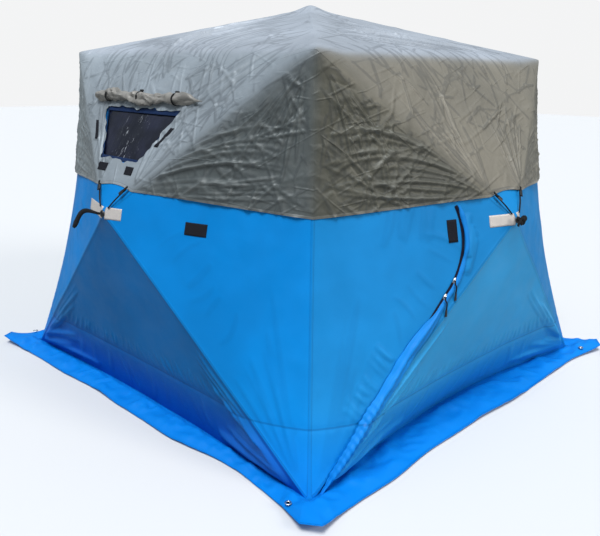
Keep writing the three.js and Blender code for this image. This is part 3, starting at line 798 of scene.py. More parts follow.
def add_point_values(mesh, name, values):
    kind = "FLOAT_VECTOR" if values.ndim == 2 else "FLOAT"
    attribute = mesh.attributes.new(name, kind, "POINT")
    attribute.data.foreach_set("vector" if values.ndim == 2 else "value", values.astype(np.float32).ravel())


def add_uv(mesh, spots):
    corner = np.zeros(len(mesh.loops), np.int32)
    mesh.loops.foreach_get("vertex_index", corner)
    mesh.uv_layers.new(name="UVMap").data.foreach_set("uv", spots[corner].astype(np.float32).ravel())


def shell(sheet, thickness, finish, values=None):
    """A sheet of cloth whose border is turned in by its thickness."""
    rings = [list(dict.fromkeys(int(index) for index in face)) for face in sheet.faces]
    edges = border_edges(sheet.faces)
    rim = sorted({index for edge in edges for index in edge})
    inner = {index: len(sheet.outer) + i for i, index in enumerate(rim)}
    faces = rings + [[b, a, inner[a], inner[b]] for a, b in edges]
    points = np.vstack([sheet.outer, sheet.outer[rim] - sheet.normals[rim] * thickness])
    piece = new_object(sheet.name, points, faces, finish)
    add_uv(piece.data, np.vstack([sheet.spots, sheet.spots[rim]]))
    add_point_values(piece.data, "place", np.vstack([sheet.places, sheet.places[rim]]))
    for name, numbers in (values or {}).items():
        add_point_values(piece.data, name, np.concatenate([numbers, numbers[rim]], axis=0))
    if hasattr(sheet, "shading"):
        shading = np.vstack([sheet.shading, sheet.shading[rim]])
        piece.data.normals_split_custom_set_from_vertices([tuple(normal) for normal in shading])
    return piece


def attach(pieces, body):
    for piece in pieces:
        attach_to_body(piece, body)


def fold_with_panel(piece, panel):
    """Bakes the piece's placement into its mesh; the strip end it works out is not used."""
    last = SEAM_REACH * np.array([-math.cos(panel.end_angle), math.sin(panel.end_angle)])
    last[0] += panel.length
    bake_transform(piece)


def sweep_mesh(name, rings, finish, closed=False, capped=True):
    """A tube through rings of points."""
    count, sides = len(rings), len(rings[0])
    points = np.vstack(rings)
    faces = []
    for i in range(count if closed else count - 1):
        for j in range(sides):
            a, b = i * sides + j, i * sides + (j + 1) % sides
            c, d = ((i + 1) % count) * sides + (j + 1) % sides, ((i + 1) % count) * sides + j
            faces.append([a, b, c, d])
    if capped and not closed:
        faces.append(list(range(sides))[::-1])
        faces.append([(count - 1) * sides + j for j in range(sides)])
    piece = new_object(name, points, faces, finish)
    piece.data.set_sharp_from_angle(angle=math.radians(55))
    add_point_values(piece.data, "place", points)
    return piece


def frames_along(path, up):
    """Side and upward directions at each point of a path."""
    path = np.asarray(path, float)
    forward = unit(np.gradient(path, axis=0))
    ups = np.broadcast_to(np.asarray(up, float), path.shape)
    side = unit(np.cross(forward, ups))
    return side, np.cross(side, forward)


def rings_along(path, radii, up, angles, wide=1.0, tall=1.0):
    """A ring of points round each point of a path. radii has a row for each ring."""
    side, lift = frames_along(path, up)
    circle = wide * np.cos(angles)[:, None] * side[:, None] + tall * np.sin(angles)[:, None] * lift[:, None]
    return path[:, None] + radii[..., None] * circle


def tube(name, path, radii, finish, up=(0, 0, 1), sides=12, flat=1.0, closed=False):
    """A round or flattened tube along a path. flat is its height as a share of its width."""
    path = np.asarray(path, float)
    radii = np.broadcast_to(np.asarray(radii, float), (len(path),))[:, None]
    return sweep_mesh(name, rings_along(path, radii, up, around(sides), tall=flat), finish, closed=closed)


def ribbon(name, path, width, thickness, finish, up):
    """A flat band with rounded edges along a path. up is the direction out of its flat face."""
    path = np.asarray(path, float)
    side, lift = frames_along(path, up)
    half, rise = width / 2, thickness / 2
    right = np.array([(half - rise, -rise), (half, -0.3 * rise), (half, 0.3 * rise), (half - rise, rise)])
    outline = np.vstack([right, -right])
    rings = path[:, None] + outline[:, :1] * side[:, None] + outline[:, 1:] * lift[:, None]
    return sweep_mesh(name, rings, finish)


def lathe(name, profile, centre, axis, finish, sides=40):
    """A turned piece. The profile is pairs of radius and height along the axis."""
    axis = unit(axis)
    first, second = crossing(axis)
    circle = np.outer(np.cos(around(sides)), first) + np.outer(np.sin(around(sides)), second)
    return sweep_mesh(name, [centre + height * axis + radius * circle for radius, height in profile], finish)


def curve_through(points, steps):
    """A smooth path through the given points."""
    points = np.asarray(points, float)
    padded = np.vstack([2 * points[0] - points[1], points, 2 * points[-1] - points[-2]])
    path = []
    for i in range(1, len(padded) - 2):
        a, b, c, d = padded[i - 1:i + 3]
        for t in np.linspace(0, 1, steps, endpoint=False):
            path.append(0.5 * (2 * b + (c - a) * t + (2 * a - 5 * b + 4 * c - d) * t**2
                               + (3 * b - a - 3 * c + d) * t**3))
    path.append(padded[-2])
    return np.array(path)


# ---- Materials ----

class Finish:
    """A node material, built a node at a time."""

    def __init__(self, name):
        self.material = bpy.data.materials.new(name)
        self.material.use_nodes = True
        self.tree = self.material.node_tree
        self.shader = self.tree.nodes["Principled BSDF"]
        self.output = self.tree.nodes["Material Output"]

    def node(self, kind, inputs=None, **settings):
        node = self.tree.nodes.new(kind)
        for key, value in settings.items():
            setattr(node, key, value)
        for key, value in (inputs or {}).items():
            self.plug(node.inputs[key], value)
        return node

    def plug(self, socket, value):
        if isinstance(value, bpy.types.NodeSocket):
            self.tree.links.new(value, socket)
        else:
            socket.default_value = value

    def place(self):
        return self.node("ShaderNodeAttribute", attribute_name="place").outputs["Vector"]

    def value(self, name):
        return self.node("ShaderNodeAttribute", attribute_name=name).outputs["Fac"]

    def maths(self, operation, first, second=0.0):
        return self.node("ShaderNodeMath", {0: first, 1: second}, operation=operation).outputs[0]

    def gap(self, first, second):
        return self.maths("ABSOLUTE", self.maths("SUBTRACT", first, second))

    def noise(self, scale, vector, detail=3.0, roughness=0.55):
        inputs = {"Scale": scale, "Vector": vector, "Detail": detail, "Roughness": roughness}
        return self.node("ShaderNodeTexNoise", inputs).outputs["Fac"]

    def cells(self, scale, vector):
        inputs = {"Scale": scale, "Vector": vector}
        return self.node("ShaderNodeTexVoronoi", inputs, feature="DISTANCE_TO_EDGE").outputs["Distance"]

    def mapped(self, vector, **settings):
        return self.node("ShaderNodeMapping", {"Vector": vector, **settings}).outputs[0]

    def folded(self, scale, turn):
        """Flat facets with straight edges: the look of cloth that was folded small."""
        inputs = {"Scale": scale, "Vector": self.mapped(self.place(), Rotation=turn)}
        node = self.node("ShaderNodeTexVoronoi", inputs, feature="F1", distance="MANHATTAN")
        return node.outputs["Distance"]

    def straight_creases(self, scale, turn):
        """Short straight creases that all run one way, in scattered groups."""
        stretched = (scale, scale * 0.10, scale * 0.10)
        lined = self.mapped(self.mapped(self.place(), Rotation=turn), Scale=stretched)
        ridge = self.ramp(self.gap(self.noise(1.0, lined, detail=0.0), 0.5), 0.055, 0.0)
        moved = self.mapped(self.place(), Location=turn)
        groups = self.ramp(self.noise(scale * 0.5, moved, detail=1.0), 0.48, 0.60)
        return self.maths("MULTIPLY", ridge, groups)

    def ramp(self, value, low, high, start=0.0, end=1.0):
        inputs = {"Value": value, "From Min": low, "From Max": high, "To Min": start, "To Max": end}
        return self.node("ShaderNodeMapRange", inputs, interpolation_type="SMOOTHSTEP").outputs["Result"]

    def mix(self, share, first, second, blend="MIX"):
        node = self.node("ShaderNodeMix", data_type="RGBA", blend_type=blend)
        self.plug(node.inputs[0], share)
        self.plug(node.inputs[6], first)
        self.plug(node.inputs[7], second)
        return node.outputs[2]

    def wash(self, base, mask, strength, colour):
        """The base with some of a colour laid over it where the mask is."""
        return self.mix(self.maths("MULTIPLY", mask, strength), base, colour)

    def bump(self, heights):
        """Bumps one over another. Each is a height, a distance and a strength."""
        normal = None
        for height, distance, strength in heights:
            inputs = {"Height": height, "Distance": distance, "Strength": strength}
            if normal is not None:
                inputs["Normal"] = normal
            normal = self.node("ShaderNodeBump", inputs).outputs["Normal"]
        self.plug(self.shader.inputs["Normal"], normal)
        return normal

    def set(self, **inputs):
        for key, value in inputs.items():
            self.plug(self.shader.inputs[key.replace("_", " ")], value)

    def weave(self, threads):
        """The over and under of a plain weave, threads to the metre."""
        uv = self.node("ShaderNodeUVMap", uv_map="UVMap").outputs["UV"]
        parts = self.node("ShaderNodeSeparateXYZ", {0: uv})
        warp = self.maths("SINE", self.maths("MULTIPLY", parts.outputs[0], threads * math.pi))
        weft = self.maths("SINE", self.maths("MULTIPLY", parts.outputs[1], threads * math.pi))
        return self.maths("MULTIPLY", warp, weft)


def linear(red, green, blue):
    """A display colour, 0 to 255, as the linear colour that shaders use."""
    values = []
    for channel in (red, green, blue):
        share = channel / 255
        values.append(share / 12.92 if share <= 0.04045 else ((share + 0.055) / 1.055) ** 2.4)
    return (*values, 1.0)


def darker(colour, share):
    return [channel * share for channel in colour[:3]] + [1]


def skin_finish(name, colour, band_colour, glow=0.16):
    """Coated woven cloth: a fine weave, slight mottling, felled seams with stitches, painted shade and
    highlights on the folds, and a darker foot that is partly the sewn band's colour and partly painted shade.
    """
    fold_shade_blue, navy, black_blue = (0.0, 0.03, 0.14, 1), (0.0, 0.02, 0.10, 1), (0.0, 0.01, 0.04, 1)
    finish = Finish(name)
    place = finish.place()
    mottled = finish.ramp(finish.noise(2.2, place), 0.35, 0.65)
    base = finish.mix(mottled, darker(colour, 0.86), colour)
    height = finish.node("ShaderNodeSeparateXYZ", {0: place}).outputs[2]
    # The foot runs softly down into the band colour: partly the darker sewn band, partly painted shade of the
    # downward-facing foot and painted blue light bounced from the skirt
    base = finish.mix(finish.ramp(height, BAND_HEIGHT + 0.10, BAND_HEIGHT - 0.16), base, band_colour)
    # Painted shade at the foot of each fold, and a painted highlight on its top
    fold = finish.value("fold")
    foot = finish.maths("MULTIPLY", finish.ramp(fold, 0.0001, 0.0012), finish.ramp(fold, 0.0045, 0.0016))
    base = finish.wash(base, foot, 0.08, fold_shade_blue)
    base = finish.mix(finish.ramp(fold, 0.0020, 0.0080, 0.0, 0.10), base, (0.04, 0.36, 0.80, 1))
    band_seam = finish.gap(height, BAND_HEIGHT)
    base = finish.mix(finish.ramp(band_seam, 0.006, 0.002, 0.0, 0.30), base, navy)
    seam = finish.value("seam")
    felled = finish.ramp(seam, 0.013, 0.010)
    base = finish.wash(base, felled, 0.09, black_blue)
    stitch_line = finish.maths("LESS_THAN", finish.gap(seam, 0.008), 0.0007)
    run = finish.maths("FRACT", finish.maths("MULTIPLY", finish.value("run"), 260.0))
    stitches = finish.maths("MULTIPLY", stitch_line, finish.maths("LESS_THAN", run, 0.7))
    base = finish.wash(base, stitches, 0.45, navy)
    finish.bump([
        (felled, 0.0012, 0.6),
        (finish.folded(5.0, (0.8, 0.3, 1.2)), 0.0050, 0.22),
        (finish.noise(38.0, place, detail=4.0), 0.0016, 0.16),
        (finish.weave(900.0), 0.00025, 0.22),
        (stitches, 0.0006, 0.6),
    ])
    rough = finish.ramp(finish.noise(9.0, place), 0.3, 0.7, 0.46, 0.60)
    finish.set(Base_Color=base, Roughness=rough, Specular_IOR_Level=0.15)
    glowing = finish.node("ShaderNodeBsdfTranslucent", {"Color": base})
    mixed = finish.node("ShaderNodeMixShader", {0: glow, 1: finish.shader.outputs[0], 2: glowing.outputs[0]})
    finish.plug(finish.output.inputs["Surface"], mixed.outputs[0])
    return finish.material


CREASE_TURNS = [(0.2, 0.5, 0.3), (0.9, 0.1, 1.3), (1.7, 0.8, 2.2), (0.5, 1.4, 0.7), (2.4, 0.3, 1.8)]


def cover_finish(name, colour=None, shine=0.18, rough=0.52):
    """Silver-coated cloth: a dull metallic coat, old straight creases with painted shade beside them and
    painted highlights on their tops, a fine grain and a bound hem.
    """
    crease_shade_colour = (0.02, 0.025, 0.03, 1)
    finish = Finish(name)
    # Without a colour, the base colour is each panel's painted light and shade
    if colour is None:
        colour = finish.node("ShaderNodeAttribute", attribute_name="painted_light_tint").outputs["Vector"]
    place = finish.place()
    mottled = finish.ramp(finish.noise(2.1, place), 0.75, 0.25, 0.0, 0.30)
    base = finish.mix(mottled, colour, (0.03, 0.035, 0.035, 1))
    dust = finish.ramp(finish.noise(24.0, place, detail=6.0), 0.45, 0.75)
    base = finish.wash(base, dust, 0.08, (0.26, 0.25, 0.23, 1))
    # Painted shade at the foot of each raised fold and in the pressed-in creases, and a faint painted
    # highlight on the fold tops
    fold = finish.value("fold")
    foot = finish.maths("MULTIPLY", finish.ramp(fold, 0.0002, 0.0014), finish.ramp(fold, 0.0050, 0.0020))
    base = finish.wash(base, foot, 0.30, crease_shade_colour)
    base = finish.mix(finish.ramp(fold, 0.0045, 0.0110, 0.0, 0.05), base, (0.55, 0.57, 0.57, 1))
    base = finish.mix(finish.ramp(fold, -0.0012, -0.0040, 0.0, 0.24), base, crease_shade_colour)
    hem = finish.value("hem")
    binding = finish.ramp(hem, HEM_WIDTH, HEM_WIDTH - 0.003)
    base = finish.wash(base, binding, 0.12, (0.40, 0.39, 0.36, 1))
    stitch_line = finish.maths("LESS_THAN", finish.gap(hem, HEM_WIDTH + 0.001), 0.0008)
    base = finish.wash(base, stitch_line, 0.5, (0.06, 0.06, 0.06, 1))
    finish.bump([
        *((finish.straight_creases(9.0, turn), 0.0050, 0.55) for turn in CREASE_TURNS[:3]),
        *((finish.straight_creases(15.0, turn), 0.0030, 0.50) for turn in CREASE_TURNS[2:]),
        (finish.folded(26.0, (0.3, 0.9, 1.4)), 0.0026, 0.25),
        (finish.noise(85.0, place, detail=5.0, roughness=0.7), 0.0006, 0.22),
        (binding, 0.0010, 0.6),
        (finish.weave(1100.0), 0.0002, 0.20),
    ])
    sheen = finish.ramp(finish.noise(12.0, place), 0.3, 0.7, rough - 0.05, rough + 0.07)
    finish.set(Base_Color=base, Metallic=shine, Roughness=sheen)
    return finish.material


def plain_finish(name, colour, roughness, metallic=0.0, scale=120.0, depth=0.0004, vary=0.2):
    """Moulded or metal parts: slight colour variation and a fine grain."""
    finish = Finish(name)
    place = finish.place()
    patches = finish.ramp(finish.noise(scale * 0.25, place), 0.35, 0.65)
    rough = finish.ramp(finish.noise(scale, place), 0.3, 0.7, roughness * 0.85, roughness * 1.15)
    base = finish.mix(patches, darker(colour, 1 - vary), colour)
    finish.set(Base_Color=base, Metallic=metallic, Roughness=rough)
    finish.bump([(finish.noise(scale * 4, place, detail=4.0), depth, 0.35)])
    return finish.material


def webbing_finish(name, colour):
    """Woven tape: ribs across the tape and a little fuzz."""
    finish = Finish(name)
    place = finish.place()
    inputs = {"Scale": 330.0, "Vector": place, "Distortion": 1.2}
    waves = finish.node("ShaderNodeTexWave", inputs, bands_direction="DIAGONAL").outputs["Fac"]
    pale = [channel * 1.5 + 0.003 for channel in colour[:3]] + [1]
    base = finish.wash(colour, waves, 0.5, pale)
    finish.set(Base_Color=base, Roughness=0.85, Specular_IOR_Level=0.25)
    finish.bump([(waves, 0.0006, 0.7), (finish.noise(600.0, place), 0.0003, 0.4)])
    return finish.material


def window_finish(name):
    """Clear film drawn opaque and dark, crinkled, with painted highlight streaks down its middle."""
    finish = Finish(name)
    place = finish.place()
    stretched = finish.mapped(place, Scale=(1.0, 0.5, 0.16))
    streaks = finish.noise(46.0, stretched, detail=5.0, roughness=0.62)
    broad = finish.noise(7.0, place, detail=2.0)
    base = finish.mix(finish.ramp(broad, 0.40, 0.72), linear(9, 11, 24), linear(24, 26, 44))
    spot = finish.node("ShaderNodeUVMap", uv_map="UVMap").outputs["UV"]
    along = finish.node("ShaderNodeSeparateXYZ", {0: spot}).outputs[0]
    central = finish.ramp(finish.gap(along, WINDOW_MIDDLE), 0.13, 0.02)
    painted_streaks = finish.ramp(finish.noise(60.0, stretched, detail=6.0, roughness=0.72), 0.58, 0.68)
    # Painted highlight streaks, strongest near the middle of the window
    base = finish.wash(base, finish.maths("MULTIPLY", painted_streaks, central), 0.85, (0.72, 0.75, 0.80, 1))
    finish.set(Base_Color=base, Roughness=0.20, Specular_IOR_Level=0.35)
    finish.bump([(broad, 0.010, 0.30), (streaks, 0.005, 0.5)])
    return finish.material


def reflective_finish(name):
    """A retroreflective tape: pale grey beige with a fine honeycomb."""
    finish = Finish(name)
    place = finish.place()
    comb = finish.cells(260.0, place)
    tone = finish.mix(finish.noise(18.0, place), linear(186, 180, 176), linear(214, 205, 196))
    base = finish.mix(finish.ramp(comb, 0.10, 0.02), tone, linear(168, 164, 162))
    finish.set(Base_Color=base, Roughness=0.40, Metallic=0.15)
    finish.bump([(finish.ramp(comb, 0.0, 0.1), 0.0003, 0.5), (finish.noise(30.0, place), 0.002, 0.2)])
    return finish.material


AZURE = linear(0, 134, 214)
# Lit and shaded copies of one blue cloth: the front and left lower panels darker as painted shade, the right
# and back walls lighter as painted light
SKIN = {
    "plain": skin_finish("skin_azure", AZURE, linear(0, 130, 220)),
    "lower": skin_finish("skin_lower_painted_shade", linear(0, 102, 168), linear(0, 82, 180), glow=0.06),
    "pale": skin_finish("skin_painted_light", linear(22, 136, 206), linear(0, 130, 216)),
    "painted_light_lower": skin_finish("skin_lower_painted_light", linear(52, 160, 222), linear(26, 138, 212), glow=0.08),
}
SKIRT = skin_finish("skirt_blue", linear(4, 124, 214), linear(4, 124, 214), glow=0.16)
STORM = skin_finish("storm_flap_blue", linear(22, 140, 228), linear(6, 130, 222))
COVER = cover_finish("silver_cover")
ROLLED = cover_finish("rolled_cover", linear(132, 128, 122), shine=0.15, rough=0.50)
BINDING = webbing_finish("window_binding_blue", linear(5, 32, 68))
WEBBING = webbing_finish("black_webbing", linear(14, 14, 16))
CORD = webbing_finish("black_cord", linear(20, 21, 26))
PATCH = webbing_finish("loop_patch", linear(12, 13, 22))
ZIP = webbing_finish("zip_tape", linear(10, 14, 36))
PLASTIC = plain_finish("hub_plastic", linear(26, 26, 28), 0.42)
ROD = plain_finish("fibreglass", linear(32, 33, 38), 0.30, scale=60.0)
STEEL = plain_finish("nickel", linear(198, 200, 204), 0.24, metallic=1.0, depth=0.0001, vary=0.08)
FERRULE = plain_finish("ferrule", linear(150, 152, 156), 0.30, metallic=1.0, vary=0.1)
FILM = window_finish("window_film")
TAPE = reflective_finish("reflective_tape")


# ---- Skin ----

def skin_with_painted_light(panel):
    # The right and back walls take the painted light copies, the front and left lower panels the painted
    # shade copy
    pale = panel.face in ("right", "back")
    if panel.edge == "lower":
        return SKIN["painted_light_lower" if pale else "lower"]
    return SKIN["pale" if pale else "plain"]


def seam_values(panel, spots):
    """Distance to the nearest sewn line, how far along it for the stitches, and the height of the folds."""
    edge, pole = spots[:, 1], pole_distance(panel, spots)
    near_edge = edge < pole
    run = np.where(near_edge, spots[:, 0], spots[:, 1])
    fold = skin_folds(panel, spots) * smooth(pole / 0.04)
    return {"seam": np.where(near_edge, edge, pole), "run": run, "fold": fold}


def zip_point(angle, radius=ZIP_RADIUS):
    return ZIP_CENTRE + radius * np.array([math.cos(angle), math.sin(angle)])


def zip_path(offset, start_angle, run, spacing=0.015):
    """Spots along the zip, from the hem of the cover down, set off towards the hub."""
    steps = max(2, round((start_angle - ZIP_BEND) * ZIP_RADIUS / spacing))
    points = [zip_point(angle, ZIP_RADIUS + offset) for angle in np.linspace(start_angle, ZIP_BEND, steps)]
    last = points[-1]
    for distance in np.linspace(0, run, max(2, round(run / spacing)))[1:]:
        points.append(last + distance * ZIP_DOWN)
    return np.array(points)


def door_loop():
    """The door's outline: along the hinge, up under the hem of the cover, and down the zip."""
    run = (zip_point(ZIP_BEND)[1] - DOOR_HINGE) / -ZIP_DOWN[1]
    curve = zip_path(0.0, ZIP_TOP + 0.10, run)
    return resampled(np.vstack([curve, [(0.640, DOOR_HINGE)]])[::-1], 0.012)


def window_loop(grow, wave=0.0):
    """The window's outline, grown all round, and rippled like cut cloth where there is a wave."""
    top, wide = WINDOW_TOP - grow, WINDOW_TOP_HALF + grow
    bottom, narrow = WINDOW_BOTTOM + grow, WINDOW_BOTTOM_HALF + grow
    corners = np.array([(-wide, top), (wide, top), (narrow, bottom), (-narrow, bottom)]) + (WINDOW_MIDDLE, 0)
    loop = resampled(corners, 0.009)
    share = around(len(loop))
    away = loop - np.array([WINDOW_MIDDLE, (WINDOW_TOP + WINDOW_BOTTOM) / 2])
    ripple = wave * (np.sin(share * 17) * 0.6 + np.sin(share * 7 + 1) * 0.8 + np.sin(share * 29 + 2) * 0.3)
    return loop + unit(away) * ripple[:, None]


def skin_sheet(panel):
    size = ROOF_SKIN if panel.face == "roof" else (SKIN_COLUMNS[panel.edge], SKIN_ROWS)
    spots, (ids, faces) = triangle_spots(panel, *size)
    if panel is WINDOW_PANEL:
        spots, faces = cut_sheet(spots[grid_border(ids)], spots, [window_loop(-WINDOW_SASH)], 0.011)
    if panel is DOOR_PANEL:
        spots, faces = cut_sheet(spots[grid_border(ids)], spots, [door_loop()], 0.011)
    return make_sheet(f"{panel.face}_{panel.edge}_cloth", panel, spots, faces, "skin")


def build_skin():
    filling = triangle_spots(DOOR_PANEL, SKIN_COLUMNS["left"], SKIN_ROWS)[0]
    door = make_sheet("door_cloth", DOOR_PANEL, *cut_sheet(door_loop(), filling, [], 0.011), "skin")
    sheets = [*map(skin_sheet, PANELS), door]
    weld_normals(sheets)
    for sheet in sheets:
        panel = sheet.panel
        piece = shell(sheet, SKIN_THICK, skin_with_painted_light(panel), seam_values(panel, sheet.spots))
        if sheet is door:
            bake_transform(piece)
            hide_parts("door_flap")
        else:
            fold_with_panel(piece, panel)
            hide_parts(panel.body, *(["tent_seam_skin"] if panel.body == "front_lower_panel" else []))


# ---- Rain cover ----

def painted_light_tone(panel):
    usual = ROOF_PAINTED_REFLECTION_TONE if panel.face == "roof" else UPPER_PAINTED_LIGHT_TONE if panel.edge == "upper" else SIDE_PAINTED_LIGHT_TONE
    return linear(*COVER_PAINTED_LIGHT_TONES.get(panel.body, usual))


def painted_light_tints(places):
    """The painted light and shade at each point: each panel has its own, and they run into each other over
    the ridges.
    """
    closeness = np.exp(np.minimum((places @ OUTS.T - OFFSETS) / PAINTED_LIGHT_BLEND, 30))
    tones = np.array([painted_light_tone(panel)[:3] for panel in PANELS])
    return closeness @ tones / closeness.sum(1, keepdims=True)


def cover_sheet(panel):
    """One panel's share of the cover, with the line of its hem."""
    if panel.face == "roof":
        spots, (ids, faces) = triangle_spots(panel, COVER_COLUMNS, ROOF_ROWS)
    else:
        spots, (ids, faces) = upper_cover_spots(panel) if panel.edge == "upper" else side_cover_spots(panel)
    hem = None if panel.face == "roof" else spots[ids[-1, :]]
    if panel is WINDOW_PANEL:
        spots, faces = cut_sheet(spots[grid_border(ids)], spots, [window_loop(0.0, wave=0.0075)], 0.008)
    sheet = make_sheet(f"cover_{panel.face}_{panel.edge}", panel, spots, faces, "cover")
    sheet.hem = hem
    return sheet


def hem_distance(sheet):
    """How far each spot is from the hem. The roof has none, so its spots are all far away."""
    if sheet.hem is None:
        return np.full(len(sheet.spots), 1.0)
    level = 0 if sheet.panel.edge == "upper" else 1
    line = sheet.hem[np.argsort(sheet.hem[:, level])]
    hem = np.interp(sheet.spots[:, level], line[:, level], line[:, 1 - level])
    return np.abs(hem - sheet.spots[:, 1 - level])


def build_cover():
    sheets = [cover_sheet(panel) for panel in PANELS if panel.face == "roof" or panel.edge != "lower"]
    weld_normals(sheets)
    for sheet in sheets:
        panel = sheet.panel
        piece = shell(sheet, COVER_THICK, COVER, {
            "hem": hem_distance(sheet),
            "painted_light_tint": painted_light_tints(sheet.places),
            "fold": cover_creases(panel, sheet.spots),
        })
        fold_with_panel(piece, panel)
        if panel.body == "roof_front_panel":
            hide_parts("rain_cover")


# ---- Poles and hubs ----

def pole_node(panel):
    """The CAD's name for the pole between a panel and the next: lower, upper, front or back comes first."""
    words = sorted([panel.edge, panel.after.edge], key=lambda edge: edge in ("left", "right"))
    return f"{panel.face}_pole_{words[0]}_{words[1]}"


def build_poles():
    """Each pole runs from its corner to its hub, behind the cloth, with a ferrule at its middle."""
    for panel in PANELS:
        node = pole_node(panel)
        run = panel.hub - panel.end
        direction = unit(run)
        length = np.linalg.norm(run) - POLE_FROM_CORNER - POLE_FROM_HUB
        base = panel.end + POLE_FROM_CORNER * direction - POLE_DEPTH * unit(panel.out + panel.after.out)
        tip = 0.6 * POLE_RADIUS
        rod = [(NO_POINT_RADIUS, 0), (tip, 0), (POLE_RADIUS, 0.003),
               (POLE_RADIUS, length - 0.003), (tip, length), (NO_POINT_RADIUS, length)]
        low, high = length / 2 - 5 * FERRULE_RADIUS, length / 2 + 5 * FERRULE_RADIUS
        lip = FERRULE_RADIUS - 0.0004
        sleeve = [(POLE_RADIUS, low), (lip, low), (FERRULE_RADIUS, low + 0.001),
                  (FERRULE_RADIUS, high - 0.001), (lip, high), (POLE_RADIUS, high)]
        pole = lathe(f"{node}_rod", rod, base, direction, ROD, sides=18)
        ferrule = lathe(f"{node}_ferrule", sleeve, base, direction, FERRULE, sides=18)
        attach([pole, ferrule], panel.body)
        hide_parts(node)


def hub_profile(top):
    """A plate inside the tent, a core through the cloth, and a small rounded cap outside."""
    bottom, plate = HUB_PLATE_BOTTOM, HUB_PLATE_BOTTOM + HUB_PLATE_THICK
    return [
        (NO_POINT_RADIUS, bottom), (HUB_RADIUS - HUB_RIM, bottom), (HUB_RADIUS, bottom + HUB_RIM),
        (HUB_RADIUS, plate - HUB_RIM), (HUB_RADIUS - HUB_RIM, plate), (HUB_CORE_RADIUS + 0.004, plate),
        (HUB_CORE_RADIUS, plate + 0.004), (HUB_CORE_RADIUS, top - 0.010),
        (HUB_CAP_RADIUS - HUB_RIM, top - 0.008), (HUB_CAP_RADIUS, top - 0.006),
        (HUB_CAP_RADIUS - 0.002, top - 0.002), (HUB_CAP_RADIUS - 0.006, top), (NO_POINT_RADIUS, top),
    ]


def build_hubs():
    for face in FACES:
        body = f"{face.name}_hub"
        cap = ROOF_CAP_TOP if face is ROOF else HUB_CAP_TOP
        pieces = [lathe(f"{body}_moulding", hub_profile(cap), face.hub, face.out, PLASTIC)]
        first, second = crossing(face.out)
        foot = HUB_PLATE_BOTTOM
        bolt = [(NO_POINT_RADIUS, foot - 0.0030), (0.0030, foot - 0.0030), (0.0046, foot - 0.0018),
                (0.0050, foot - 0.0001), (NO_POINT_RADIUS, foot - 0.0001)]
        for i, angle in enumerate(math.pi / 4 + around(4)):
            centre = face.hub + 0.030 * (math.cos(angle) * first + math.sin(angle) * second)
            pieces.append(lathe(f"{body}_bolt_{i}", bolt, centre, face.out, STEEL, sides=16))
        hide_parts(body)
        attach(pieces, body)


# ---- Cords, straps, tapes and patches ----

def wall_spot(panel, sideways, height):
    """The spot on a wall's panel at a distance sideways from the wall's middle line, and a height."""
    wall = WALL[panel.face]
    lateral = wall.panels[0].along
    matrix = np.array([[panel.along @ lateral, panel.across @ lateral], [panel.along[2], panel.across[2]]])
    target = np.array([sideways - (panel.start - wall.hub) @ lateral, height - panel.start[2]])
    return np.linalg.solve(matrix, target)


def patch(name, panel, corners, layer, lift, thickness, finish, steps=(14, 8)):
    """A thin piece of tape or cloth that lies on the fabric between four corner spots."""
    corners = np.asarray(corners, float)
    up, over = share_grid(steps[1], steps[0])
    low = corners[0] + over[..., None] * (corners[1] - corners[0])
    high = corners[3] + over[..., None] * (corners[2] - corners[3])
    spots = (low + up[..., None] * (high - low)).reshape(-1, 2)
    sheet = make_sheet(name, panel, spots, grid_faces(steps[1], steps[0])[1], layer, lift)
    return shell(sheet, thickness, finish)



def build_reflective_strips():
    """Each wall's strip runs across its hub, in two pieces that meet at the hub."""
    half = 0.027
    for wall in WALLS:
        ends = (-0.254, 0.104) if wall.name in ("front", "back") else (-0.159, 0.060)
        for edge, end in zip(("left", "right"), ends):
            panel = PANEL[f"{wall.name}_{edge}_panel"]
            height = wall.hub[2] + 0.004
            near = math.copysign(0.012, end)
            places = ((near, -half), (end, -half), (end, half), (near, half))
            corners = [wall_spot(panel, sideways, height + rise) for sideways, rise in places]
            strip = patch(f"{wall.name}_reflective_{edge}", panel, corners, "skin", 0.0014, 0.0010, TAPE)
            attach([strip], panel.body)


def build_patches():
    """Upright patches of hook-and-loop tape: one on the front wall and one on the door."""
    for name, panel, body, spot, width, tall in (
        ("front_loop_patch", PANEL["front_right_panel"], "front_right_panel", (1.10, 0.563), 0.110, 0.055),
        ("door_loop_patch", DOOR_PANEL, "door_flap", (0.706, 0.704), 0.052, 0.100),
    ):
        wall = WALL[panel.face]
        middle = flat_point(panel, spot)[0]
        sideways = (middle - wall.hub) @ wall.panels[0].along
        corners = [wall_spot(panel, sideways + x * width / 2, middle[2] + y * tall / 2) for x, y in CORNERS]
        attach([patch(name, panel, corners, "skin", 0.0022, 0.0018, PATCH)], body)


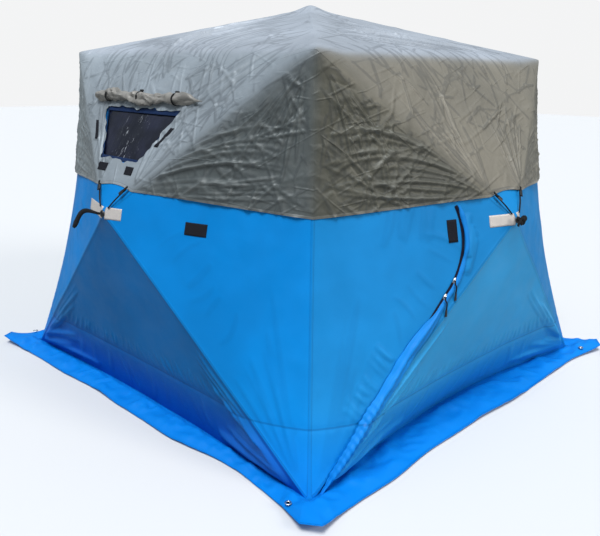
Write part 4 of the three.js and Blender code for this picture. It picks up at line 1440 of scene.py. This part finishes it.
def build_cords():
    """Two cords on each wall tie the hem of the cover to the hub, through a buckle on the hem."""
    share = np.linspace(0, 1, 26)[:, None]
    for panel in (wall.panels[2] for wall in WALLS):
        for name, corner, slip in (("right", 0.0, 0.030), ("left", panel.length, -0.030)):
            edge = np.array([corner, 0.0])
            tie = edge + (panel.tip - edge) * HEM_SHARE + (slip, 0)
            end = panel.tip + (edge - panel.tip) * 0.035
            ends, normals = surface(panel, np.array([tie - 0.03 * (end - tie), end]), "skin")
            ends = ends + normals * np.array([[0.012], [0.006]])
            points = ends[0] + (ends[1] - ends[0]) * share + 0.004 * np.sin(math.pi * share) * panel.out
            down = unit(points[3] - points[0])
            pieces = [tube(f"{panel.face}_cord_{name}", points, 0.0034, CORD, up=panel.out, sides=10)]
            for kind, finish, width, thick, steps in (
                ("tie", WEBBING, 0.014, 0.003, (-0.016, 0.0, 0.022)),
                ("buckle", PLASTIC, 0.019, 0.007, (0.014, 0.026, 0.040)),
            ):
                path = [points[0] + 0.006 * panel.out + step * down for step in steps]
                pieces.append(ribbon(f"{panel.face}_{kind}_{name}", path, width, thick, finish, panel.out))
            attach(pieces, panel.body)


def strap_tail(body, start, left, out, size):
    """A padded tail that leans out and droops, with a band of stitching near its tip."""
    bend = start + 0.38 * size * left + 0.3 * size * out
    end = start + 0.62 * size * left + 0.5 * size * out - np.array([0, 0, 0.5 * size])
    path = curve_through([start, bend, end], 14)
    share = np.linspace(0, 1, len(path))
    radii = 0.0060 + 0.0065 * smooth(share * 1.6) - 0.004 * smooth((share - 0.93) / 0.07)
    looks = {"up": out, "sides": 16, "flat": 0.78}
    tail = tube(f"{body}_tail", path, radii, WEBBING, **looks)
    return [tail, tube(f"{body}_stitching", path[-6:-3], radii[-6:-3] + 0.0012, CORD, **looks)]


def strap_loop(body, start, left, out):
    """A bunched loop of webbing with a short tail."""
    turn = np.linspace(0, 2 * math.pi, 90, endpoint=False)
    knot = start + 0.020 * left + 0.018 * out
    x = 0.022 * np.sin(turn) + 0.006 * np.sin(3 * turn + 0.6)
    y = 0.010 * np.sin(2 * turn) + 0.005 * np.cos(5 * turn)
    z = 0.010 * np.cos(3 * turn)
    path = knot + np.outer(x, left) + np.outer(y, np.cross(left, out)) + np.outer(z, out)
    loop = tube(f"{body}_loop", path, 0.0105, WEBBING, up=out, flat=0.7, closed=True)
    end = knot + 0.055 * left + 0.012 * out - np.array([0, 0, 0.018])
    tail = curve_through([knot, knot + 0.035 * left + 0.010 * out, end], 8)
    return [loop, tube(f"{body}_tail", tail, 0.0075, WEBBING, up=out, flat=0.6)]


def build_straps():
    """A pull strap on each wall hub: a padded tail on the front and back, a bunched loop on the other two."""
    for wall in WALLS:
        body = f"{wall.name}_pull_strap"
        left = -wall.panels[0].along
        start = wall.hub + 0.020 * wall.out
        if wall.name in ("front", "back"):
            pieces = strap_tail(body, start, left, wall.out, 0.165)
        else:
            pieces = strap_loop(body, start, left, wall.out)
        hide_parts(body)
        attach(pieces, body)


# ---- Window ----

def build_film():
    """The clear pane, which hangs in soft waves behind its opening."""
    filling = upper_cover_spots(WINDOW_PANEL)[0]
    spots, faces = cut_sheet(window_loop(-WINDOW_SASH + 0.006), filling, [], 0.013)
    sheet = make_sheet("window_film", WINDOW_PANEL, spots, faces, "skin", -0.0016)
    waves = 0.0016 * hills(sheet.places * np.array([1, 1, 0.4]), 0.05, 71)
    waves += 0.004 * hills(sheet.places, 0.16, 72) - 0.0045
    sheet.outer = sheet.outer + sheet.normals * waves[:, None]
    film = shell(sheet, 0.0006, FILM)
    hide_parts("window_pane")
    return film


def build_binding():
    """A narrow band sewn all round the opening."""
    inner, outer = window_loop(-WINDOW_SASH - 0.001), window_loop(-WINDOW_SASH + 0.010)
    count = len(inner)
    share = np.linspace(0, 1, count, endpoint=False)
    known = np.linspace(0, 1, len(outer) + 1)
    closed = np.vstack([outer, outer[:1]])
    outer = np.stack([np.interp(share, known, closed[:, i]) for i in range(2)], -1)
    ring = np.arange(count)
    after = (ring + 1) % count
    faces = np.stack([ring, after, after + count, ring + count], -1)
    sheet = make_sheet("window_binding", WINDOW_PANEL, np.vstack([inner, outer]), faces, "skin", 0.0022)
    return shell(sheet, 0.0016, BINDING)


def build_bands():
    """Wider bands along the top and the bottom of the window, cut to its slanting sides."""
    bands = []
    taper = (WINDOW_TOP_HALF - WINDOW_BOTTOM_HALF) / (WINDOW_BOTTOM - WINDOW_TOP)
    for name, across, tall, low in (("top", WINDOW_TOP, 0.022, WINDOW_TOP_HALF),
                                    ("bottom", WINDOW_BOTTOM - 0.014, 0.014, WINDOW_BOTTOM_HALF + 0.008)):
        high = low - taper * tall
        corners = np.array([(-low, across), (low, across), (high, across + tall), (-high, across + tall)])
        corners[:, 0] += WINDOW_MIDDLE
        name = f"window_band_{name}"
        bands.append(patch(name, WINDOW_PANEL, corners, "skin", 0.0012, 0.0010, BINDING, (60, 4)))
    return bands


def build_window_patches():
    """Hook-and-loop pieces on the cover beside and below the window, which hold its cover when it is down."""
    pieces = []
    for name, aside, across, width, tall, lean in (
        ("window_patch_left", 0.115, 0.634, 0.072, 0.040, 0.0),
        ("window_patch_right", -0.115, 0.634, 0.062, 0.040, 0.0),
        ("window_strip_left", 0.315, 0.45, 0.024, 0.100, 0.030),
        ("window_strip_right", -0.275, 0.45, 0.024, 0.100, -0.030),
    ):
        middle = np.array([WINDOW_MIDDLE + aside, across])
        corners = [middle + (x * width / 2 - y * lean, y * tall / 2) for x, y in CORNERS]
        pieces.append(patch(name, WINDOW_PANEL, corners, "cover", 0.0024, 0.0018, PATCH))
    return pieces


def build_window():
    body = WINDOW_PANEL.body
    attach([build_film(), build_binding(), *build_bands()], body)
    attach([build_roll(WINDOW_PANEL)], body)
    attach(build_window_patches(), body)
    toggles = [build_toggle(WINDOW_PANEL, WINDOW_MIDDLE + offset, i) for i, offset in enumerate(TOGGLES)]
    attach(toggles, body)


def roll_frame(panel, along):
    """The roll's middle line at some distances along the panel's edge."""
    spots = np.stack([along, np.full(len(along), WINDOW_TOP - ROLL_ABOVE_WINDOW)], -1)
    return surface(panel, spots, "skin", COVER_LIFT + 0.75 * ROLL_RADIUS)[0]


def pushed_out(rings, centres, amounts):
    """Rings of points, each point moved straight away from the centre of its ring."""
    return rings + unit(rings - centres[:, None]) * amounts[..., None]


def build_roll(panel):
    """The rolled-up storm panel: a loose, crumpled roll whose right end runs out to a point."""
    sides = 26
    along = np.linspace(-ROLL_HALF, ROLL_HALF, 210) + WINDOW_MIDDLE - 0.02
    points = roll_frame(panel, along)
    share = np.linspace(0, 1, len(along))
    radii = ROLL_RADIUS * (1 + 0.16 * hills(points, 0.06, 81))
    radii *= 0.18 + 0.82 * smooth(share / 0.16)
    radii *= 0.55 + 0.45 * smooth((1 - share) / 0.03)
    sag = -0.006 * np.sin(share * math.pi * 3) + 0.004 * hills(points, 0.09, 82)
    points = points + sag[:, None] * panel.across
    spiral = 0.86 + 0.22 * np.arange(sides) / sides
    rings = rings_along(points, radii[:, None] * spiral, panel.out, around(sides), tall=0.92)
    shape = rings.reshape(-1, 3)
    drawn = shape - 0.62 * np.outer(shape @ panel.along, panel.along)
    dents = 0.0240 * (creased(drawn, 0.046, 83) - 0.7) + 0.0160 * (creased(drawn, 0.022, 84) - 0.6)
    rings = pushed_out(rings, points, dents.reshape(-1, sides) * radii[:, None] / ROLL_RADIUS)
    roll = sweep_mesh("window_roll", rings, ROLLED)
    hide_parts("window_cover_roll")
    return roll


def build_toggle(panel, along, index):
    """A short strap round the roll with a small barrel toggle."""
    centre = roll_frame(panel, np.array([along]))[0]
    radius = ROLL_RADIUS + 0.0055
    angles = np.linspace(-0.4, math.pi + 0.5, 16)
    spokes = np.outer(np.sin(angles), panel.out) - np.outer(np.cos(angles), panel.across)
    strap = ribbon(f"toggle_strap_{index}", centre + radius * spokes, 0.012, 0.0022, WEBBING, spokes)
    barrel = centre - (radius + 0.004) * panel.across + 0.010 * panel.out
    ends = [(NO_POINT_RADIUS, -0.014), (0.0035, -0.014), (0.0050, -0.011)]
    profile = ends + [(wide, -height) for wide, height in reversed(ends)]
    toggle = lathe(f"toggle_{index}", profile, barrel, panel.along, PLASTIC, sides=16)
    toggle.parent = strap
    return strap


# ---- Door zip ----

def zip_surface(spots, lift):
    return surface(DOOR_PANEL, spots, "skin", lift)


def build_zip():
    """The tape, with the coil on it. Both start just under the hem of the cover."""
    top = ZIP_TOP + 0.06
    points, normals = zip_surface(zip_path(0.003, top, 0.80), 0.0016)
    tape = ribbon("door_zip_cloth_tape", points, ZIP_TAPE, 0.0014, ZIP, normals)
    points = zip_surface(zip_path(0.002, top, 0.80, spacing=0.006), 0.0042)[0]
    radii = 0.0026 + 0.0006 * (np.arange(len(points)) % 2)
    coil = tube("door_zip_coil", points, radii, ZIP, up=DOOR_PANEL.out, sides=8)
    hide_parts("door_zip_tape")
    for piece in (tape, coil):
        fold_with_panel(piece, DOOR_PANEL)
    build_storm_flap(DOOR_PANEL)
    build_sliders(DOOR_PANEL)


def build_storm_flap(panel):
    """A tube of spare cloth that stands over the lower zip, crushed into small folds."""
    sides = 22
    path = zip_path(ZIP_TAPE / 2 + 0.006, ZIP_TOP + 0.04, ZIP_RUN, spacing=0.008)
    gone = np.cumsum(np.linalg.norm(np.diff(path, axis=0, prepend=path[:1]), axis=1))
    straight = gone - (gone[-1] - ZIP_RUN)  # how far down the zip's straight run
    path = path - np.outer(0.014 * smooth((straight - 0.14) / 0.16), ZIP_SIDE)
    points, normals = zip_surface(path, 0.0065)
    radii = 0.0080 + 0.0085 * smooth((straight - 0.05) / 0.25)
    radii = radii * (0.5 + 0.5 * smooth(gone / 0.05)) * (0.35 + 0.65 * smooth((gone[-1] - gone) / 0.16))
    angles = around(sides)
    rings = rings_along(points, radii[:, None], normals, angles, wide=1.5, tall=0.85)
    shape = rings.reshape(-1, 3)
    dents = 0.0030 * hills(shape, 0.045, 91) + 0.0080 * (creased(shape, 0.060, 92) - 0.6)
    dents = dents.reshape(-1, sides)
    dents += 0.0050 * np.cos(4 * angles + 0.6) * smooth(straight / 0.2)[:, None]
    comb = np.sin(gone[:, None] * 2 * math.pi / 0.034 + 2 * np.cos(angles))
    dents += 0.0022 * comb * smooth((straight - 0.55) / 0.1)[:, None]
    rings = pushed_out(rings, points, dents * radii[:, None] / 0.015)
    flap = sweep_mesh("storm_flap_tube", rings, STORM)
    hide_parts("storm_flap")
    fold_with_panel(flap, panel)


def slider_metal(name, centre, forward, normal):
    """The slider's body, with the bridge that holds its puller."""
    across = np.cross(normal, forward)
    outline = np.array([(-0.016, 0.004), (-0.013, 0.0075), (0.006, 0.0088), (0.013, 0.0050)])
    outline = np.vstack([outline, outline[::-1] * (1, -1)])
    flat = outline[:, :1] * forward + outline[:, 1:] * across
    levels = ((0.0, 0.94), (0.0012, 1.0), (0.0042, 1.0), (0.0056, 0.86))
    rings = [centre + grow * flat + height * normal for height, grow in levels]
    block = sweep_mesh(f"{name}_block", rings, STEEL)
    arch = [centre + x * forward + (0.0056 + height) * normal for x, height in
            ((-0.009, -0.001), (-0.006, 0.003), (0.0, 0.0046), (0.006, 0.003), (0.009, -0.001))]
    return [block, ribbon(f"{name}_bridge", curve_through(arch, 5), 0.004, 0.0016, STEEL, normal)]


def slider_puller(name, centre, forward, normal):
    """A cord that hangs from the bridge, with a moulded grip on its end."""
    drop = np.array([0, 0, -1.0])
    start = centre + 0.009 * normal
    knots = [start, start + 0.016 * forward + 0.010 * normal, start + 0.030 * drop + 0.012 * normal,
             start + 0.060 * drop + 0.010 * normal]
    path = curve_through(knots, 8)
    cord = tube(f"{name}_cord", path, 0.0032, CORD, up=np.cross(normal, forward), sides=10)
    grip_path = curve_through([path[-1] + step * drop for step in (-0.002, 0.014, 0.030)], 6)
    radii = np.linspace(0.0050, 0.0068, len(grip_path))
    return [cord, tube(f"{name}_grip", grip_path, radii, PLASTIC, up=normal, sides=14, flat=0.6)]


def build_sliders(panel):
    """Two sliders that meet near the bend of the zip."""
    upper_angle = ZIP_BEND + 0.13
    lower = (zip_point(ZIP_BEND) + 0.045 * ZIP_DOWN, ZIP_DOWN)
    upper = (zip_point(upper_angle), np.array([math.sin(upper_angle), -math.cos(upper_angle)]))
    for name, (spot, heading) in (("zip_slider_lower", lower), ("zip_slider_upper", upper)):
        points, normals = zip_surface(np.array([spot]), 0.0040)
        centre, normal = points[0], normals[0]
        forward = unit(heading[0] * panel.along + heading[1] * panel.across)
        metal = slider_metal(name, centre, forward, normal)
        attach(metal, name)
        attach(slider_puller(name, centre, forward, normal), name)
        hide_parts(name)


# ---- Snow skirt ----

def wall_foot(turns, share):
    """A point on the foot of a wall, just outside its cloth."""
    sag = BASE_SAG[SIDES[turns]] * math.sin(math.pi * share)
    foot = turned((FLOOR_HALF * (2 * share - 1), -FLOOR_HALF + sag, 0), turns)
    return foot * (1 + 0.002 / FLOOR_HALF)


def skirt_rim(turns, share):
    """The skirt's outer edge: wavy, drawn in near one end of each side, with a tip at each corner."""
    middle = 2 * share - 1
    reach = FLOOR_HALF + SKIRT_REACH
    wave = SKIRT_WAVE * math.sin(share * SKIRT_WAVES + turns) * (1 - middle**4)
    fine = 0.004 * math.sin(share * 31 + 2 * turns) * (1 - middle**8)
    near = share if turns % 2 == 0 else 1 - share
    tuck = SKIRT_TUCK[SIDES[turns]] * math.exp(-(((near - 0.80) / 0.14) ** 2))
    return turned((reach * middle, tuck - reach - wave - fine - SKIRT_TIP * abs(middle) ** 8, 0), turns)


def skirt_height(places, level, tip):
    """How high the skirt's cloth lies: up at the wall, creased where it is free, raised at its corners."""
    height = 0.0045 + 0.012 * (1 - level) ** 2
    lying = smooth(level / 0.3) * (0.25 + 0.75 * smooth((1 - level) / 0.35))
    height += 0.030 * (creased(places, 0.16, 61) - 0.30) * lying
    height += 0.014 * (creased(places, 0.065, 62) - 0.30) * lying
    height += 0.010 * smooth((hills(places, 0.25, 63) - 0.1) / 0.6) * level
    return np.maximum(height + SKIRT_TIP_RISE * level * tip, 0.0016)


def build_skirt():
    shares = np.arange(SKIRT_COLUMNS) / SKIRT_COLUMNS
    inner = np.array([wall_foot(turns, share) for turns in range(4) for share in shares])
    outer = np.array([skirt_rim(turns, share) for turns in range(4) for share in shares])
    total = len(inner)
    levels = np.linspace(0, 1, SKIRT_ROWS + 1)
    level = np.repeat(levels, total)
    places = (inner + (outer - inner) * levels[:, None, None]).reshape(-1, 3)
    tip = np.tile(np.abs(2 * shares - 1) ** 14, 4 * len(levels))
    points = places + np.outer(skirt_height(places, level, tip), (0, 0, 1))
    ring = np.arange(total)
    after = (ring + 1) % total
    strip = np.stack([ring, ring + total, after + total, after], -1)
    faces = np.vstack([strip + row * total for row in range(SKIRT_ROWS)])
    run = np.tile(2.6 * np.add.outer(np.arange(4), shares).ravel(), len(levels))
    spots = np.stack([run, level * 0.15], -1)
    sheet = SimpleNamespace(name="skirt_cloth", spots=spots, faces=faces, outer=points, places=places,
                            normals=np.tile((0.0, 0.0, 1.0), (len(points), 1)))
    facing_out(sheet)
    border = np.minimum(level, 1 - level) * 0.13
    piece = shell(sheet, 0.0012, SKIRT, {"seam": border + 0.004, "run": run})
    piece.data.set_sharp_from_angle(angle=math.radians(60))
    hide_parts("snow_skirt")
    attach([piece], "root")
    build_grommets(sheet)


def build_grommets(sheet):
    """A nickel ring near each corner of the skirt, for a stake."""
    profile = [(0.0070, 0.0), (0.0138, 0.0), (0.0150, 0.0008), (0.0138, 0.0022), (0.0105, 0.0030),
               (0.0080, 0.0024), (0.0070, 0.0010), (0.0070, 0.0)]
    for turns, side in enumerate(SIDES):
        near = turned((-FLOOR_HALF - 0.100, -FLOOR_HALF + 0.020, 0), turns)
        distance = np.linalg.norm(sheet.places[:, :2] - near[:2], axis=1)
        near[2] = sheet.outer[distance < 0.03][:, 2].max() + 0.0006
        ring = lathe(f"grommet_{side}", profile, near, (0, 0, 1), STEEL)
        attach([ring], "root")
        if side == "front":
            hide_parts("skirt_grommet")


# ---- Stage ----

def build_floor():
    """A pale floor, which looks brighter to the camera than it shines on the cloth."""
    bpy.ops.mesh.primitive_plane_add(size=60, location=(0, 0, -0.001))
    floor = bpy.context.object
    floor.name = "floor"
    ground = Finish("pale_floor")
    seen = ground.node("ShaderNodeLightPath").outputs["Is Camera Ray"]
    ground.set(Base_Color=ground.mix(seen, (0.34, 0.34, 0.33, 1), (0.58, 0.58, 0.58, 1)), Roughness=0.9)
    floor.data.materials.append(ground.material)


def build_world():
    """A soft sky that brightens upwards. The camera sees a plain pale backdrop instead."""
    world = bpy.data.worlds.new("studio")
    bpy.context.scene.world = world
    world.use_nodes = True
    nodes, links = world.node_tree.nodes, world.node_tree.links
    coordinate = nodes.new("ShaderNodeTexCoord")
    parts = nodes.new("ShaderNodeSeparateXYZ")
    links.new(coordinate.outputs["Generated"], parts.inputs[0])
    sky = nodes.new("ShaderNodeValToRGB")
    stops = ((0.02, (0.20, 0.22, 0.24, 1)), (0.75, (0.74, 0.86, 1.0, 1)))
    for element, (position, colour) in zip(sky.color_ramp.elements, stops):
        element.position = position
        element.color = colour
    links.new(parts.outputs[2], sky.inputs[0])
    links.new(sky.outputs[0], nodes["Background"].inputs["Color"])
    nodes["Background"].inputs["Strength"].default_value = 0.62
    backdrop = nodes.new("ShaderNodeBackground")
    backdrop.inputs["Color"].default_value = (0.90, 0.905, 0.91, 1)
    choice = nodes.new("ShaderNodeMixShader")
    links.new(nodes.new("ShaderNodeLightPath").outputs["Is Camera Ray"], choice.inputs[0])
    links.new(nodes["Background"].outputs[0], choice.inputs[1])
    links.new(backdrop.outputs[0], choice.inputs[2])
    links.new(choice.outputs[0], nodes["World Output"].inputs["Surface"])


def build_lights():
    """Two broad lamps: one overhead towards the camera, and a weaker, warmer one from the side."""
    for name, direction, spread, strength, colour in (
        ("overhead", (0.26, -0.50, 1.15), 26, 3.7, (0.96, 0.98, 1.0)),
        ("side", (1.0, 0.30, 0.55), 20, 1.3, (1.0, 0.95, 0.88)),
    ):
        lamp = bpy.data.lights.new(name, "SUN")
        lamp.angle = math.radians(spread)
        lamp.energy = strength
        lamp.color = colour
        light = bpy.data.objects.new(name, lamp)
        light.rotation_mode = "QUATERNION"
        light.rotation_quaternion = (-Vector(direction)).to_track_quat("-Z", "Y")
        bpy.context.scene.collection.objects.link(light)


def build_stage():
    build_floor()
    build_world()
    build_lights()
    bpy.context.scene.view_settings.view_transform = "Standard"


def build_camera():
    """Eye level, looking at the corner between the window wall and the door wall."""
    level = math.cos(CAMERA_ELEVATION)
    back = np.array([level * math.sin(CAMERA_AZIMUTH), -level * math.cos(CAMERA_AZIMUTH),
                     math.sin(CAMERA_ELEVATION)])
    right = unit(np.cross(-back, (0, 0, 1)))
    up = np.cross(right, -back)
    tilted_right = right * math.cos(CAMERA_ROLL) + up * math.sin(CAMERA_ROLL)
    tilted_up = up * math.cos(CAMERA_ROLL) - right * math.sin(CAMERA_ROLL)
    camera = bpy.data.objects.new("camera", bpy.data.cameras.new("camera"))
    camera.data.lens = CAMERA_LENS
    camera.data.sensor_width = 36.0
    matrix = np.eye(4)
    matrix[:3] = np.stack([tilted_right, tilted_up, back, CAMERA_PLACE], 1)
    camera.matrix_world = Matrix(matrix.tolist())
    bpy.context.scene.collection.objects.link(camera)
    bpy.context.scene.camera = camera


build_skin()
build_cover()
build_poles()
build_hubs()
build_reflective_strips()
build_patches()
build_cords()
build_straps()
build_window()
build_zip()
build_skirt()
build_stage()
build_camera()
